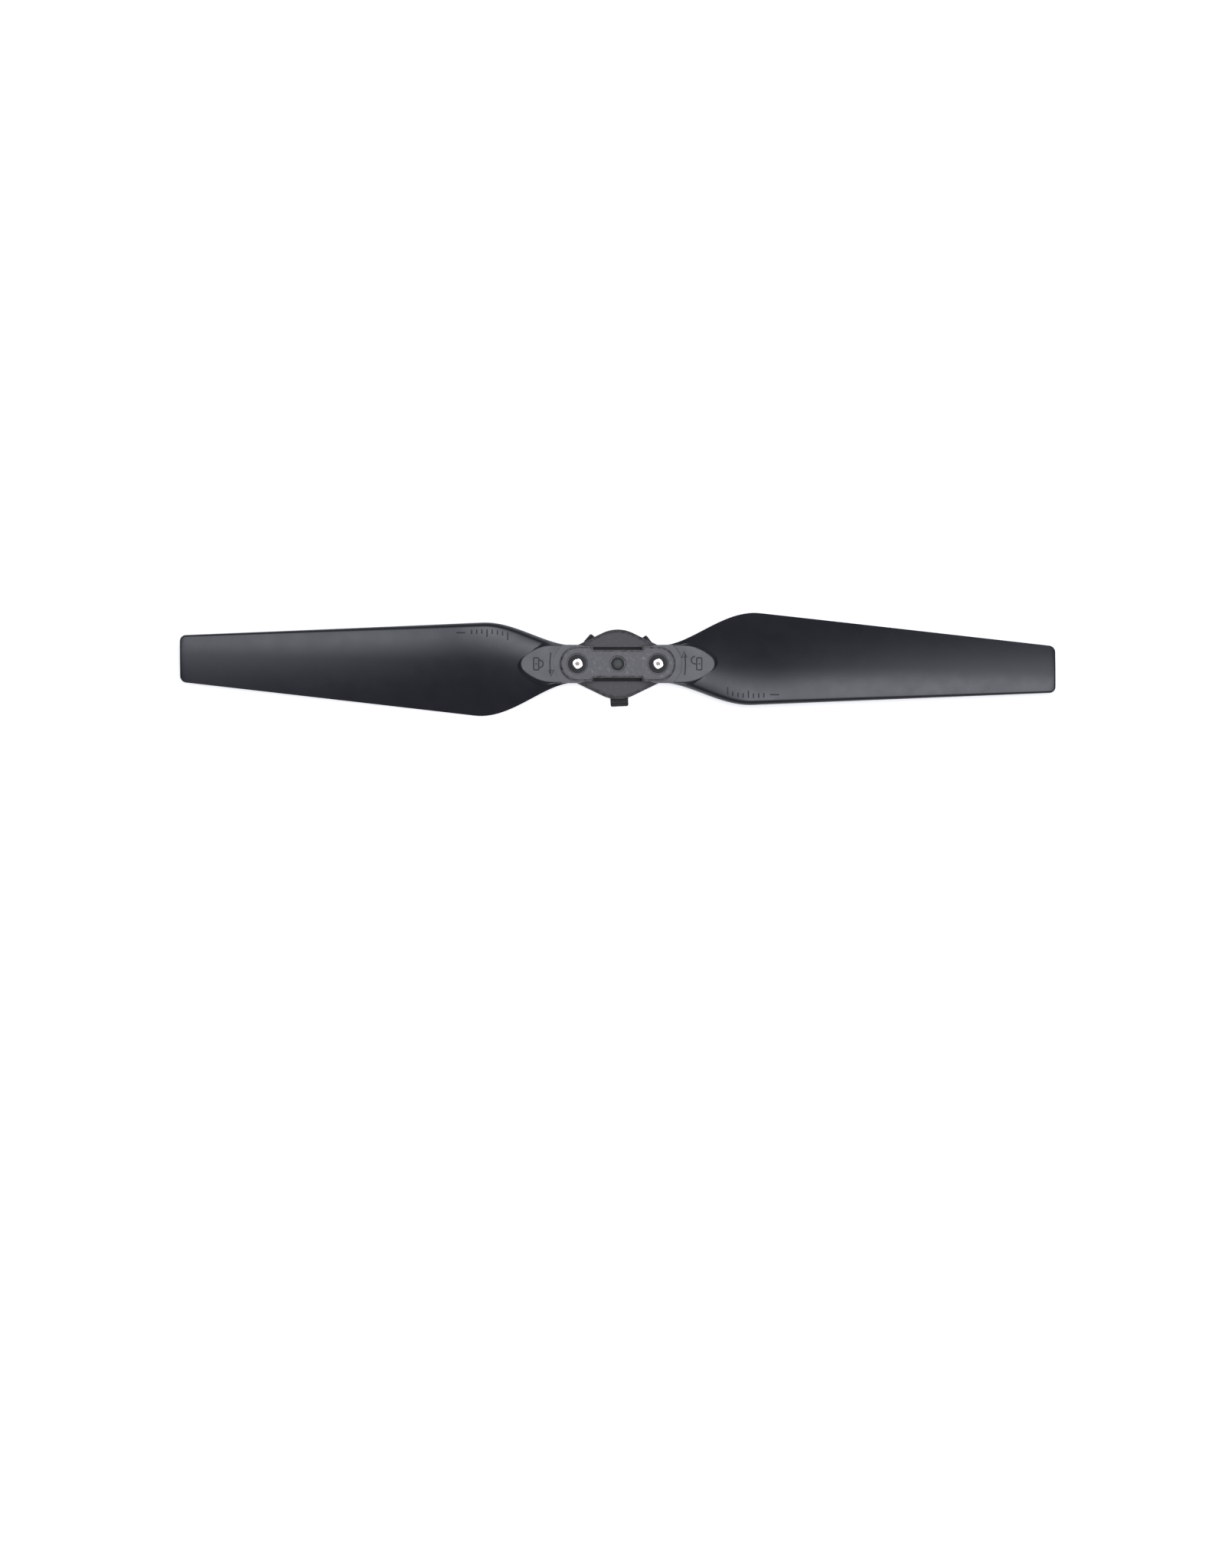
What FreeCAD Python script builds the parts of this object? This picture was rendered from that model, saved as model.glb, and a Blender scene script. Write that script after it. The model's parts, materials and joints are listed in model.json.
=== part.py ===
"""Folding two-blade quick-release propeller: a parametric FreeCAD document, one labelled object per piece.

Frame: millimetres, +Z along the shaft away from the motor, origin on the shaft's axis at the seat of the hub.
The blades lie along +X and -X, and the propeller turns clockwise seen from above.
"""
import FreeCAD
import Part
import Sketcher
import math
import os
from FreeCAD import Placement, Rotation, Vector

# ---------------------------------------------------------------- driving dimensions, in millimetres and degrees
DIMENSIONS = [
    # blade outline, seen along the shaft
    ("diameter", 195.58, "tip to tip, 7.7 inches"),
    ("pitch", 71.12, "advance in one turn, 2.8 inches"),
    ("blade_start", 10.2, "radius of the innermost blade section, inside the root tongue"),
    ("root_half_width", 4.15, "half width of the blade where it leaves the tongue"),
    ("flare_start", 9.5, "radius where the blade starts to widen"),
    ("leading_flare_end", 30.0, "radius where the leading side is widest"),
    ("leading_widest", 9.16, "leading edge to the pitch axis there"),
    ("leading_tip", 6.42, "leading edge to the pitch axis at the tip"),
    ("trailing_flare_end", 32.0, "radius where the trailing side is widest"),
    ("trailing_widest", 11.45, "trailing edge to the pitch axis there"),
    ("trailing_tip", 3.97, "trailing edge to the pitch axis at the tip"),
    ("tip_corner", 1.3, "corner radius of the tip"),
    # blade section
    ("pitch_axis_height", 5.3, "height of the line that the sections turn about"),
    ("twist_start", 9.0, "radius where the blade starts to twist"),
    ("twist_end", 36.0, "radius from which the blade has its full pitch"),
    ("thickness_root", 2.8, "section thickness at the root"),
    ("thickness_widest", 1.7, "section thickness at the widest place"),
    ("thickness_tip", 0.9, "section thickness at the tip"),
    ("camber_root", 0.085, "camber as a share of the chord at the root"),
    ("camber_tip", 0.035, "camber as a share of the chord at the tip"),
    ("trailing_edge", 0.26, "thickness of the trailing edge"),
    # root tongue of the blade
    ("eye_radius", 4.25, "end radius of the tongue, and half its width"),
    ("tongue_side", 5.0, "straight side of the tongue, from the pivot outwards"),
    ("tongue_nose", 2.2, "nose radius of the tongue's raised pad"),
    ("tongue_length", 12.65, "pivot to the end of the nose"),
    ("tongue_bottom", 3.8, "height of the tongue's lower face"),
    ("tongue_thickness", 3.4, "thickness of the eye"),
    ("pad_rise", 0.7, "pad's upper face above the eye's"),
    ("pad_step_radius", 5.4, "radius of the step between eye and pad"),
    ("pad_edge", 0.25, "fillet of the pad's upper edge"),
    ("tongue_edge", 0.25, "fillet of the tongue's lower edge"),
    # hub base
    ("pivot_x", 9.0, "shaft axis to pivot axis"),
    ("flange_radius", 7.8, "round middle of the flange"),
    ("ear_radius", 3.87, "ends of the flange and of the top plate"),
    ("flange_bottom", 2.3, "height of the flange's lower face"),
    ("flange_top", 3.6, "height of the flange's upper face"),
    ("flange_edge", 0.9, "fillet of the flange's upper edge"),
    ("skirt_radius", 7.0, "outside of the skirt under the flange"),
    ("cup_radius", 5.6, "inside of the skirt"),
    ("cup_depth", 1.9, "depth of the cup from the seat"),
    ("boss_radius", 2.6, "boss under each ear"),
    ("boss_bottom", 1.5, "height of the boss's lower face"),
    ("block_half_width", 3.08, "half width of the block between the eyes, and of the plate's waist"),
    ("block_clearance", 0.35, "gap between an eye or a folded blade and the block"),
    ("slot_half_length", 5.4, "half length of the slots beside the block"),
    ("slot_width", 0.75, "width of the slots beside the block"),
    ("key_angle", 272.6, "direction of the wide bayonet lug"),
    ("side_lug_1_angle", 38.0, "direction of the first narrow lug"),
    ("side_lug_2_angle", 139.0, "direction of the second narrow lug"),
    ("key_lug_width", 4.0, "width of the wide lug"),
    ("side_lug_width", 2.6, "width of the two narrow lugs"),
    ("key_lug_reach", 9.4, "outer face of the wide lug"),
    ("side_lug_reach", 9.1, "outer face of the narrow lugs"),
    ("lug_thickness", 0.9, "floor of a lug"),
    ("lug_corner", 0.4, "corner radius of a lug"),
    ("lip_height", 1.7, "top of the lug's upturned lip"),
    ("lip_edge", 0.25, "fillet of the lip's upper edges"),
    ("lip_thickness", 0.6, "lip, from its outer face inwards"),
    # top plate
    ("plate_bottom", 7.4, "height of the plate's lower face"),
    ("plate_thickness", 1.2, "plate thickness"),
    ("plate_edge", 0.55, "fillet of the plate's upper edge"),
    ("waist_half_length", 5.4, "half length of the narrow waist"),
    ("shoulder_half_length", 5.9, "where the plate has its full width again"),
    ("centre_hole", 1.82, "radius of the hole in the plate's middle"),
    ("counterbore_radius", 2.35, "radius of the seat for a pin's head"),
    ("counterbore_depth", 0.6, "depth of that seat"),
    # pivot: pin, backing washer, bush and thrust washers
    ("pin_radius", 1.2, "shank of the pivot pin"),
    ("pin_hole", 1.25, "hole for the shank in plate, flange and bush"),
    ("pin_head_radius", 2.1, "formed head of the pin"),
    ("pin_head_height", 0.55, "height of the formed head"),
    ("pin_rim_height", 0.165, "upright rim of the head, below its cone"),
    ("pin_crown_radius", 1.38, "flat crown of the head"),
    ("pin_bore", 0.5, "hollow end of the pin"),
    ("pin_bore_depth", 3.0, "depth of the hollow"),
    ("pin_drill_point", 0.2, "cone at the end of the hollow"),
    ("pin_foot_radius", 1.8, "lower head of the pin"),
    ("pin_foot_height", 0.5, "height of the lower head"),
    ("backing_radius", 1.95, "steel washer under the boss"),
    ("backing_thickness", 0.3, "its thickness"),
    ("bush_radius", 1.9, "outside of the bush pressed into the eye"),
    ("thrust_radius", 3.3, "outside of a thrust washer"),
    ("thrust_thickness", 0.18, "thickness of a thrust washer"),
    ("thrust_play", 0.01, "play above and below a thrust washer"),
    # shaft insert in the middle of the hub base
    ("insert_radius", 2.3, "body of the insert"),
    ("insert_shoulder", 5.6, "height of the insert's shoulder"),
    ("insert_nose_radius", 1.45, "nose in the plate's middle hole"),
    ("insert_nose_top", 8.2, "top of the domed nose"),
    ("insert_dome", 0.45, "rise of the dome"),
    ("insert_crown_radius", 1.015, "where the dome becomes flatter"),
    ("insert_crown_drop", 0.135, "fall from the top of the dome to there"),
    ("shaft_bore", 1.25, "bore for the motor's centre post"),
    ("shaft_bore_depth", 3.4, "depth of that bore from the insert's lower face"),
    # construction
    ("overlap", 0.1, "how far a feature runs into the one before it, so that they join"),
    ("trim_margin", 0.1, "gap between the blade's edges and the prism that trims its tip"),
    ("trim_bottom", -5.0, "height of that prism's lower face"),
    ("trim_height", 30.0, "height of that prism"),
    ("trim_half_width", 20.0, "half width of that prism around the root"),
    ("trim_taper_start", 40.0, "radius where that prism starts to follow the blade's edges"),
]

SECTION_POINTS = 16  # points on each face of a blade section
SECTION_COUNT = 18  # sections from root to tip
SECTION_CROWDING = 1.7  # above 1 puts more of the sections near the root
CAMBER_PLACE = 0.4  # place of the greatest camber along the chord
NOSE_LENGTH = 0.4  # length of the rounded nose, as a share of the section's thickness
THINNING = 1.3  # above 1 keeps the section thick for longer before it thins to the trailing edge

doc = FreeCAD.newDocument("folding_propeller")


# ---------------------------------------------------------------- document helpers
def write_sheet():
    """Puts the driving dimensions in a spreadsheet named dims, one alias a row."""
    sheet = doc.addObject("Spreadsheet::Sheet", "dims")
    for row, (name, value, note) in enumerate(DIMENSIONS, start=1):
        sheet.set(f"A{row}", name)
        sheet.set(f"B{row}", str(value))
        sheet.setAlias(f"B{row}", name)
        sheet.set(f"C{row}", note)
    doc.recompute()


def size(name):
    """A driving dimension, read from the sheet."""
    return float(doc.getObject("dims").get(name.removeprefix("dims.")))


def bind(item, **sizes):
    """Binds properties of item to expressions on the sheet; a double underscore in a name stands for a dot."""
    for path, expression in sizes.items():
        item.setExpression(path.replace("__", "."), expression)


def new_sketch(body, name, height="0", plane="XY_Plane", turn="0"):
    """A sketch on one of the body's own origin planes, raised by height and turned about its normal."""
    sketch = body.newObject("Sketcher::SketchObject", name)
    origin_plane = next(f for f in body.Origin.OriginFeatures if f.Role == plane)
    sketch.AttachmentSupport = [(origin_plane, "")]
    sketch.MapMode = "FlatFace"
    sketch.AttachmentOffset = Placement(Vector(), Rotation(Vector(0, 0, 1), 0))
    bind(sketch, AttachmentOffset__Base__z=height, AttachmentOffset__Rotation__Angle=turn)
    return sketch


def place_point(sketch, geometry, point, x_size, y_size):
    """Fixes one point of a sketch element at the given distances from the sketch's origin."""
    for kind, expression in (("DistanceX", x_size), ("DistanceY", y_size)):
        here = sketch.getPoint(geometry, point)
        start = here.x if kind == "DistanceX" else here.y
        index = sketch.addConstraint(Sketcher.Constraint(kind, -1, 1, geometry, point, start))
        sketch.setExpression(f"Constraints[{index}]", expression)


def circle(sketch, radius, x_size="0", start=0.0):
    """A circle with its centre on the sketch's X axis; start is a rough place for the solver."""
    index = sketch.addGeometry(Part.Circle(Vector(start, 0, 0), Vector(0, 0, 1), 1.0))
    constraint = sketch.addConstraint(Sketcher.Constraint("Radius", index, 1.0))
    sketch.setExpression(f"Constraints[{constraint}]", radius)
    place_point(sketch, index, 3, x_size, "0")


def polygon(sketch, corners):
    """A closed outline of straight lines; corners are pairs of expressions, with a rough start for the solver."""
    starts = [Vector(x, y, 0) for (x, y), _ in corners]
    lines = [
        sketch.addGeometry(Part.LineSegment(starts[i], starts[(i + 1) % len(starts)]))
        for i in range(len(starts))
    ]
    for i, line in enumerate(lines):
        sketch.addConstraint(Sketcher.Constraint("Coincident", line, 2, lines[(i + 1) % len(lines)], 1))
    for line, (_, sizes) in zip(lines, corners):
        place_point(sketch, line, 1, *sizes)


def rectangle(sketch, low_x, high_x, low_y, high_y):
    """A rectangle between four expressions."""
    polygon(sketch, [
        ((-1, -1), (low_x, low_y)),
        ((1, -1), (high_x, low_y)),
        ((1, 1), (high_x, high_y)),
        ((-1, 1), (low_x, high_y)),
    ])


def join_tangent(sketch, elements):
    """Joins each element's end to the next one's start, without a corner."""
    for first, second in zip(elements, elements[1:] + elements[:1]):
        sketch.addConstraint(Sketcher.Constraint("Tangent", first, 2, second, 1))


def pad(body, sketch, length, name):
    feature = body.newObject("PartDesign::Pad", name)
    feature.Profile = sketch
    bind(feature, Length=length)
    return feature


def pocket(body, sketch, depth, name, upwards=False):
    """Cuts below the sketch, or above it."""
    feature = body.newObject("PartDesign::Pocket", name)
    feature.Profile = sketch
    feature.Reversed = upwards
    bind(feature, Length=depth)
    return feature


def fillet(body, base, edges, radius, name):
    feature = body.newObject("PartDesign::Fillet", name)
    feature.Base = (base, edges)
    bind(feature, Radius=radius)
    return feature


def edges_where(shape, test):
    """Names of the edges that pass the test."""
    return [f"Edge{i}" for i, edge in enumerate(shape.Edges, start=1) if test(edge)]


def lies_at(edge, height):
    """True if the whole edge is at that height."""
    box = edge.BoundBox
    return abs(box.ZMin - height) < 1e-4 and abs(box.ZMax - height) < 1e-4


def revolve(body, sketch, name):
    """Turns a sketch on the XZ plane about the body's Z axis."""
    feature = body.newObject("PartDesign::Revolution", name)
    feature.Profile = sketch
    feature.ReferenceAxis = (sketch, ["V_Axis"])
    feature.Angle = 360
    return feature


def both_pivots():
    """Side name, sign for expressions and rough place of each pivot."""
    return (("right", "", size("pivot_x")), ("left", "-", -size("pivot_x")))


# ---------------------------------------------------------------- hub base
def flange_outline(sketch):
    """The round middle and the two ears, joined by their common tangents."""
    middle, ear, reach = size("flange_radius"), size("ear_radius"), size("pivot_x")
    lean = math.acos((middle - ear) / reach)
    up = Vector(0, 0, 1)
    arcs = [  # centre, radius, start angle, half the arc; anticlockwise from the right-hand ear
        (reach, ear, 0.0, lean),
        (0.0, middle, math.pi / 2, math.pi / 2 - lean),
        (-reach, ear, math.pi, lean),
        (0.0, middle, -math.pi / 2, math.pi / 2 - lean),
    ]
    placed = []
    for centre, radius, middle_angle, half in arcs:
        arc = Part.ArcOfCircle(
            Part.Circle(Vector(centre, 0, 0), up, radius), middle_angle - half, middle_angle + half)
        placed.append((sketch.addGeometry(arc), arc))
    elements = []
    for (index, arc), (_, following) in zip(placed, placed[1:] + placed[:1]):
        line = sketch.addGeometry(Part.LineSegment(arc.EndPoint, following.StartPoint))
        elements += [index, line]
    for index, x_size, radius in zip(
            elements[::2],
            ("dims.pivot_x", "0", "-dims.pivot_x", "0"),
            ("dims.ear_radius", "dims.flange_radius") * 2):
        place_point(sketch, index, 3, x_size, "0")
        constraint = sketch.addConstraint(Sketcher.Constraint("Radius", index, middle))
        sketch.setExpression(f"Constraints[{constraint}]", radius)
    join_tangent(sketch, elements)


def add_lug(body, name, turn, width, reach):
    """A bayonet lug: a floor that reaches outwards from the skirt, with an upturned lip at its end."""
    half = f"{width} / 2"
    floor = new_sketch(body, f"{name}_floor_outline", turn=turn)
    rectangle(floor, "(dims.cup_radius + dims.skirt_radius) / 2", reach, f"-{half}", half)
    pad(body, floor, "dims.lug_thickness", f"{name}_floor")
    lip = new_sketch(body, f"{name}_lip_outline", turn=turn)
    rectangle(lip, f"{reach} - dims.lip_thickness", reach, f"-{half}", half)
    lip_pad = pad(body, lip, "dims.lip_height", f"{name}_lip")
    doc.recompute()
    middle = lip.AttachmentOffset.Rotation.multVec(Vector(size(reach), 0, 0))
    far = size(width)  # further than any point of this lug from its middle, nearer than any other lug

    def on_lug(edge):
        return math.hypot(edge.CenterOfMass.x - middle.x, edge.CenterOfMass.y - middle.y) < far

    corner_radius = math.hypot(size(reach), size(width) / 2)

    def is_outer_corner(edge):
        upright = edge.BoundBox.ZLength > size("lip_height") / 2
        off = math.hypot(edge.CenterOfMass.x, edge.CenterOfMass.y) - corner_radius
        return upright and on_lug(edge) and abs(off) < 1e-3

    corners = fillet(body, lip_pad, edges_where(lip_pad.Shape, is_outer_corner),
                     "dims.lug_corner", f"{name}_corners")
    doc.recompute()
    top = size("lip_height")
    fillet(body, corners, edges_where(corners.Shape, lambda e: lies_at(e, top) and on_lug(e)),
           "dims.lip_edge", f"{name}_rim")


def build_hub_base():
    """Flange with two ears, skirt with three bayonet lugs, and the block that carries the top plate."""
    body = doc.addObject("PartDesign::Body", "hub_base")
    flange = new_sketch(body, "flange_shape", "dims.flange_bottom")
    flange_outline(flange)
    flange_pad = pad(body, flange, "dims.flange_top - dims.flange_bottom", "flange")
    doc.recompute()
    rim = edges_where(flange_pad.Shape, lambda e: lies_at(e, size("flange_top")))
    fillet(body, flange_pad, rim, "dims.flange_edge", "flange_rim")

    skirt = new_sketch(body, "skirt_outline")
    circle(skirt, "dims.skirt_radius")
    pad(body, skirt, "dims.flange_bottom + dims.overlap", "skirt")

    for side, sign, start in both_pivots():
        boss = new_sketch(body, f"boss_outline_{side}", "dims.boss_bottom")
        circle(boss, "dims.boss_radius", f"{sign}dims.pivot_x", start)
        pad(body, boss, "dims.flange_bottom - dims.boss_bottom + dims.overlap", f"boss_{side}")

    block = new_sketch(body, "block_outline", "dims.flange_top - dims.overlap")
    reach = "(dims.pivot_x - dims.eye_radius - dims.block_clearance)"
    rectangle(block, f"-{reach}", reach, "-dims.block_half_width", "dims.block_half_width")
    pad(body, block, "dims.plate_bottom - dims.flange_top + dims.overlap", "block")

    add_lug(body, "key_lug", "dims.key_angle", "dims.key_lug_width", "dims.key_lug_reach")
    for number in (1, 2):
        add_lug(body, f"side_lug_{number}", f"dims.side_lug_{number}_angle",
                "dims.side_lug_width", "dims.side_lug_reach")

    cup = new_sketch(body, "cup_outline")
    circle(cup, "dims.cup_radius")
    pocket(body, cup, "dims.cup_depth", "cup", upwards=True)
    for side, sign in (("back", ""), ("front", "-")):
        slot = new_sketch(body, f"slot_outline_{side}", "dims.flange_bottom")
        inner = f"{sign}dims.block_half_width"
        outer = f"{sign}(dims.block_half_width + dims.slot_width)"
        rectangle(slot, "-dims.slot_half_length", "dims.slot_half_length",
                  *((inner, outer) if sign == "" else (outer, inner)))
        pocket(body, slot, "dims.flange_top", f"slot_{side}", upwards=True)

    insert_seat = new_sketch(body, "insert_seat_outline")
    circle(insert_seat, "dims.insert_radius")
    pocket(body, insert_seat, "dims.insert_shoulder", "insert_seat", upwards=True)
    nose_hole = new_sketch(body, "nose_hole_outline")
    circle(nose_hole, "dims.insert_nose_radius")
    pocket(body, nose_hole, "dims.plate_bottom", "nose_hole", upwards=True)
    for side, sign, start in both_pivots():
        hole = new_sketch(body, f"pin_hole_outline_{side}")
        circle(hole, "dims.pin_hole", f"{sign}dims.pivot_x", start)
        body.Tip = pocket(body, hole, "dims.flange_top", f"pin_hole_{side}", upwards=True)
    return body


# ---------------------------------------------------------------- top plate
def plate_outline(sketch):
    """Two round ends and a narrower waist, mirrored about both axes."""
    quarter = [
        ("pivot_x", "ear_radius"),
        ("shoulder_half_length", "ear_radius"),
        ("waist_half_length", "block_half_width"),
    ]

    def mirrored(names, x_sign, y_sign):
        """A corner's place now, and the expressions that it is bound to."""
        place = Vector(x_sign * size(names[0]), y_sign * size(names[1]), 0)
        return place, [f"{'-' if sign < 0 else ''}dims.{name}" for sign, name in zip((x_sign, y_sign), names)]

    top = [mirrored(names, 1, 1) for names in quarter] + [mirrored(names, -1, 1) for names in reversed(quarter)]
    bottom = [mirrored(names, -1, -1) for names in quarter] \
        + [mirrored(names, 1, -1) for names in reversed(quarter)]
    runs = []
    for side in (top, bottom):
        points = [place for place, _ in side]
        lines = [sketch.addGeometry(Part.LineSegment(a, b)) for a, b in zip(points, points[1:])]
        for first, second in zip(lines, lines[1:]):
            sketch.addConstraint(Sketcher.Constraint("Coincident", first, 2, second, 1))
        for line, (_, sizes) in zip(lines, side):
            place_point(sketch, line, 1, *sizes)
        place_point(sketch, lines[-1], 2, *side[-1][1])
        runs.append(lines)
    reach, end_radius = size("pivot_x"), size("ear_radius")
    for x_size, x, angle, before, after in (
            ("-dims.pivot_x", -reach, math.pi / 2, runs[0][-1], runs[1][0]),
            ("dims.pivot_x", reach, -math.pi / 2, runs[1][-1], runs[0][0])):
        arc = Part.ArcOfCircle(
            Part.Circle(Vector(x, 0, 0), Vector(0, 0, 1), end_radius), angle, angle + math.pi)
        index = sketch.addGeometry(arc)
        sketch.addConstraint(Sketcher.Constraint("Coincident", before, 2, index, 1))
        sketch.addConstraint(Sketcher.Constraint("Coincident", index, 2, after, 1))
        distance = sketch.addConstraint(Sketcher.Constraint("DistanceX", -1, 1, index, 3, x))
        sketch.setExpression(f"Constraints[{distance}]", x_size)


def build_top_plate():
    """Dog-bone plate that closes the clevis over both blade eyes."""
    body = doc.addObject("PartDesign::Body", "top_plate")
    outline = new_sketch(body, "plate_shape", "dims.plate_bottom")
    plate_outline(outline)
    plate = pad(body, outline, "dims.plate_thickness", "plate")
    doc.recompute()
    top = size("plate_bottom") + size("plate_thickness")
    fillet(body, plate, edges_where(plate.Shape, lambda e: lies_at(e, top)), "dims.plate_edge", "plate_rim")
    upper_face = "dims.plate_bottom + dims.plate_thickness"
    for side, sign, start in both_pivots():
        seat = new_sketch(body, f"counterbore_outline_{side}", upper_face)
        circle(seat, "dims.counterbore_radius", f"{sign}dims.pivot_x", start)
        pocket(body, seat, "dims.counterbore_depth", f"counterbore_{side}")
        hole = new_sketch(body, f"pin_hole_outline_{side}", upper_face)
        circle(hole, "dims.pin_hole", f"{sign}dims.pivot_x", start)
        pocket(body, hole, "dims.plate_thickness", f"pin_hole_{side}")
    centre = new_sketch(body, "centre_hole_outline", upper_face)
    circle(centre, "dims.centre_hole")
    body.Tip = pocket(body, centre, "dims.plate_thickness", "centre_hole")
    return body


# ---------------------------------------------------------------- blades
def smooth_share(value, start, end):
    """0 before start, 1 after end, and a smooth rise between them."""
    share = min(max((value - start) / (end - start), 0.0), 1.0)
    return share * share * (3 - 2 * share)


def edge_offset(radius, side):
    """Distance of the leading or trailing edge from the pitch axis: a flare, then a straight taper."""
    flare_end, widest, tip = (size(f"{side}_{name}") for name in ("flare_end", "widest", "tip"))
    taper = widest + (tip - widest) * (radius - flare_end) / (size("diameter") / 2 - flare_end)
    share = smooth_share(radius, size("flare_start"), flare_end)
    return size("root_half_width") * (1 - share) + taper * share


def twist(radius):
    """Pitch angle, in radians: the helix of one pitch a turn, easing to flat at the root."""
    helix = math.atan(size("pitch") / (2 * math.pi * radius))
    return helix * smooth_share(radius, size("twist_start"), size("twist_end"))


def section_thickness(radius):
    widest_at = size("leading_flare_end")
    if radius < widest_at:
        share = smooth_share(radius, size("blade_start"), widest_at)
        return size("thickness_root") + (size("thickness_widest") - size("thickness_root")) * share
    share = (radius - widest_at) / (size("diameter") / 2 - widest_at)
    return size("thickness_widest") + (size("thickness_tip") - size("thickness_widest")) * share


def section_wire(radius):
    """One blade section: a cambered wing section with a blunt trailing edge, at its pitch angle."""
    leading, trailing = edge_offset(radius, "leading"), edge_offset(radius, "trailing")
    angle, thickness = twist(radius), section_thickness(radius)
    chord = (leading + trailing) / math.cos(angle)
    outwards = (radius - size("blade_start")) / (size("diameter") / 2 - size("blade_start"))
    camber = (size("camber_root") + (size("camber_tip") - size("camber_root")) * outwards) * chord
    nose = NOSE_LENGTH * thickness / chord
    sharp = 1 - size("trailing_edge") / thickness

    def point(share, side):
        rounding = math.sqrt(1 - (1 - min(share / nose, 1.0)) ** 2)
        thinning = 1 - sharp * max(0.0, (share - nose) / (1 - nose)) ** THINNING
        half = thickness / 2 * rounding * thinning
        if share < CAMBER_PLACE:
            bow = (2 * CAMBER_PLACE * share - share ** 2) / CAMBER_PLACE ** 2
        else:
            bow = (1 - 2 * CAMBER_PLACE + 2 * CAMBER_PLACE * share - share ** 2) / (1 - CAMBER_PLACE) ** 2
        above = camber * bow + side * half
        along = share * chord
        y = -leading + along * math.cos(angle) + above * math.sin(angle)
        z = size("pitch_axis_height") + leading * math.tan(angle) - along * math.sin(angle) \
            + above * math.cos(angle)
        return Vector(radius, y, z)

    shares = [(i / SECTION_POINTS) ** 2 for i in range(SECTION_POINTS + 1)]  # closest together at the nose
    points = [point(share, 1) for share in reversed(shares)] + [point(share, -1) for share in shares[1:]]
    skin = Part.BSplineCurve()
    skin.interpolate(Points=points, Parameters=[i / (len(points) - 1) for i in range(len(points))])
    return Part.Wire([skin.toShape(), Part.LineSegment(points[-1], points[0]).toShape()])


def build_blade_skin():
    """The lofted blade, before its tip corners are rounded and its tongue is added."""
    start, tip = size("blade_start"), size("diameter") / 2
    radii = [start + (tip - start) * (i / (SECTION_COUNT - 1)) ** SECTION_CROWDING for i in range(SECTION_COUNT)]
    skin = doc.addObject("Part::Feature", "blade_skin")
    skin.Shape = Part.makeLoft([section_wire(radius) for radius in radii], True, False, False)
    return skin


def build_tip_trim():
    """A prism with the blade's tapered outline and rounded tip corners."""
    body = doc.addObject("PartDesign::Body", "tip_trim")
    sketch = new_sketch(body, "tip_trim_outline", "dims.trim_bottom")
    inner, far, tip = size("pivot_x"), size("trim_taper_start"), size("diameter") / 2
    half, margin = size("trim_half_width"), size("trim_margin")
    corners = [
        Vector(inner, -half, 0), Vector(far, -half, 0),
        Vector(far, -edge_offset(far, "leading") - margin, 0),
        Vector(tip, -edge_offset(tip, "leading") - margin, 0),
        Vector(tip, edge_offset(tip, "trailing") + margin, 0),
        Vector(far, edge_offset(far, "trailing") + margin, 0),
        Vector(far, half, 0), Vector(inner, half, 0),
    ]
    for first, second in zip(corners, corners[1:] + corners[:1]):
        sketch.addGeometry(Part.LineSegment(first, second))
    for i in range(len(corners)):
        sketch.addConstraint(Sketcher.Constraint("Coincident", i, 2, (i + 1) % len(corners), 1))
    prism = pad(body, sketch, "dims.trim_height", "tip_trim_prism")
    doc.recompute()
    upright = edges_where(
        prism.Shape,
        lambda e: e.BoundBox.ZLength > size("trim_height") / 2 and abs(e.CenterOfMass.x - tip) < 1e-3)
    fillet(body, prism, upright, "dims.tip_corner", "tip_trim_corners")
    return body


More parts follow.
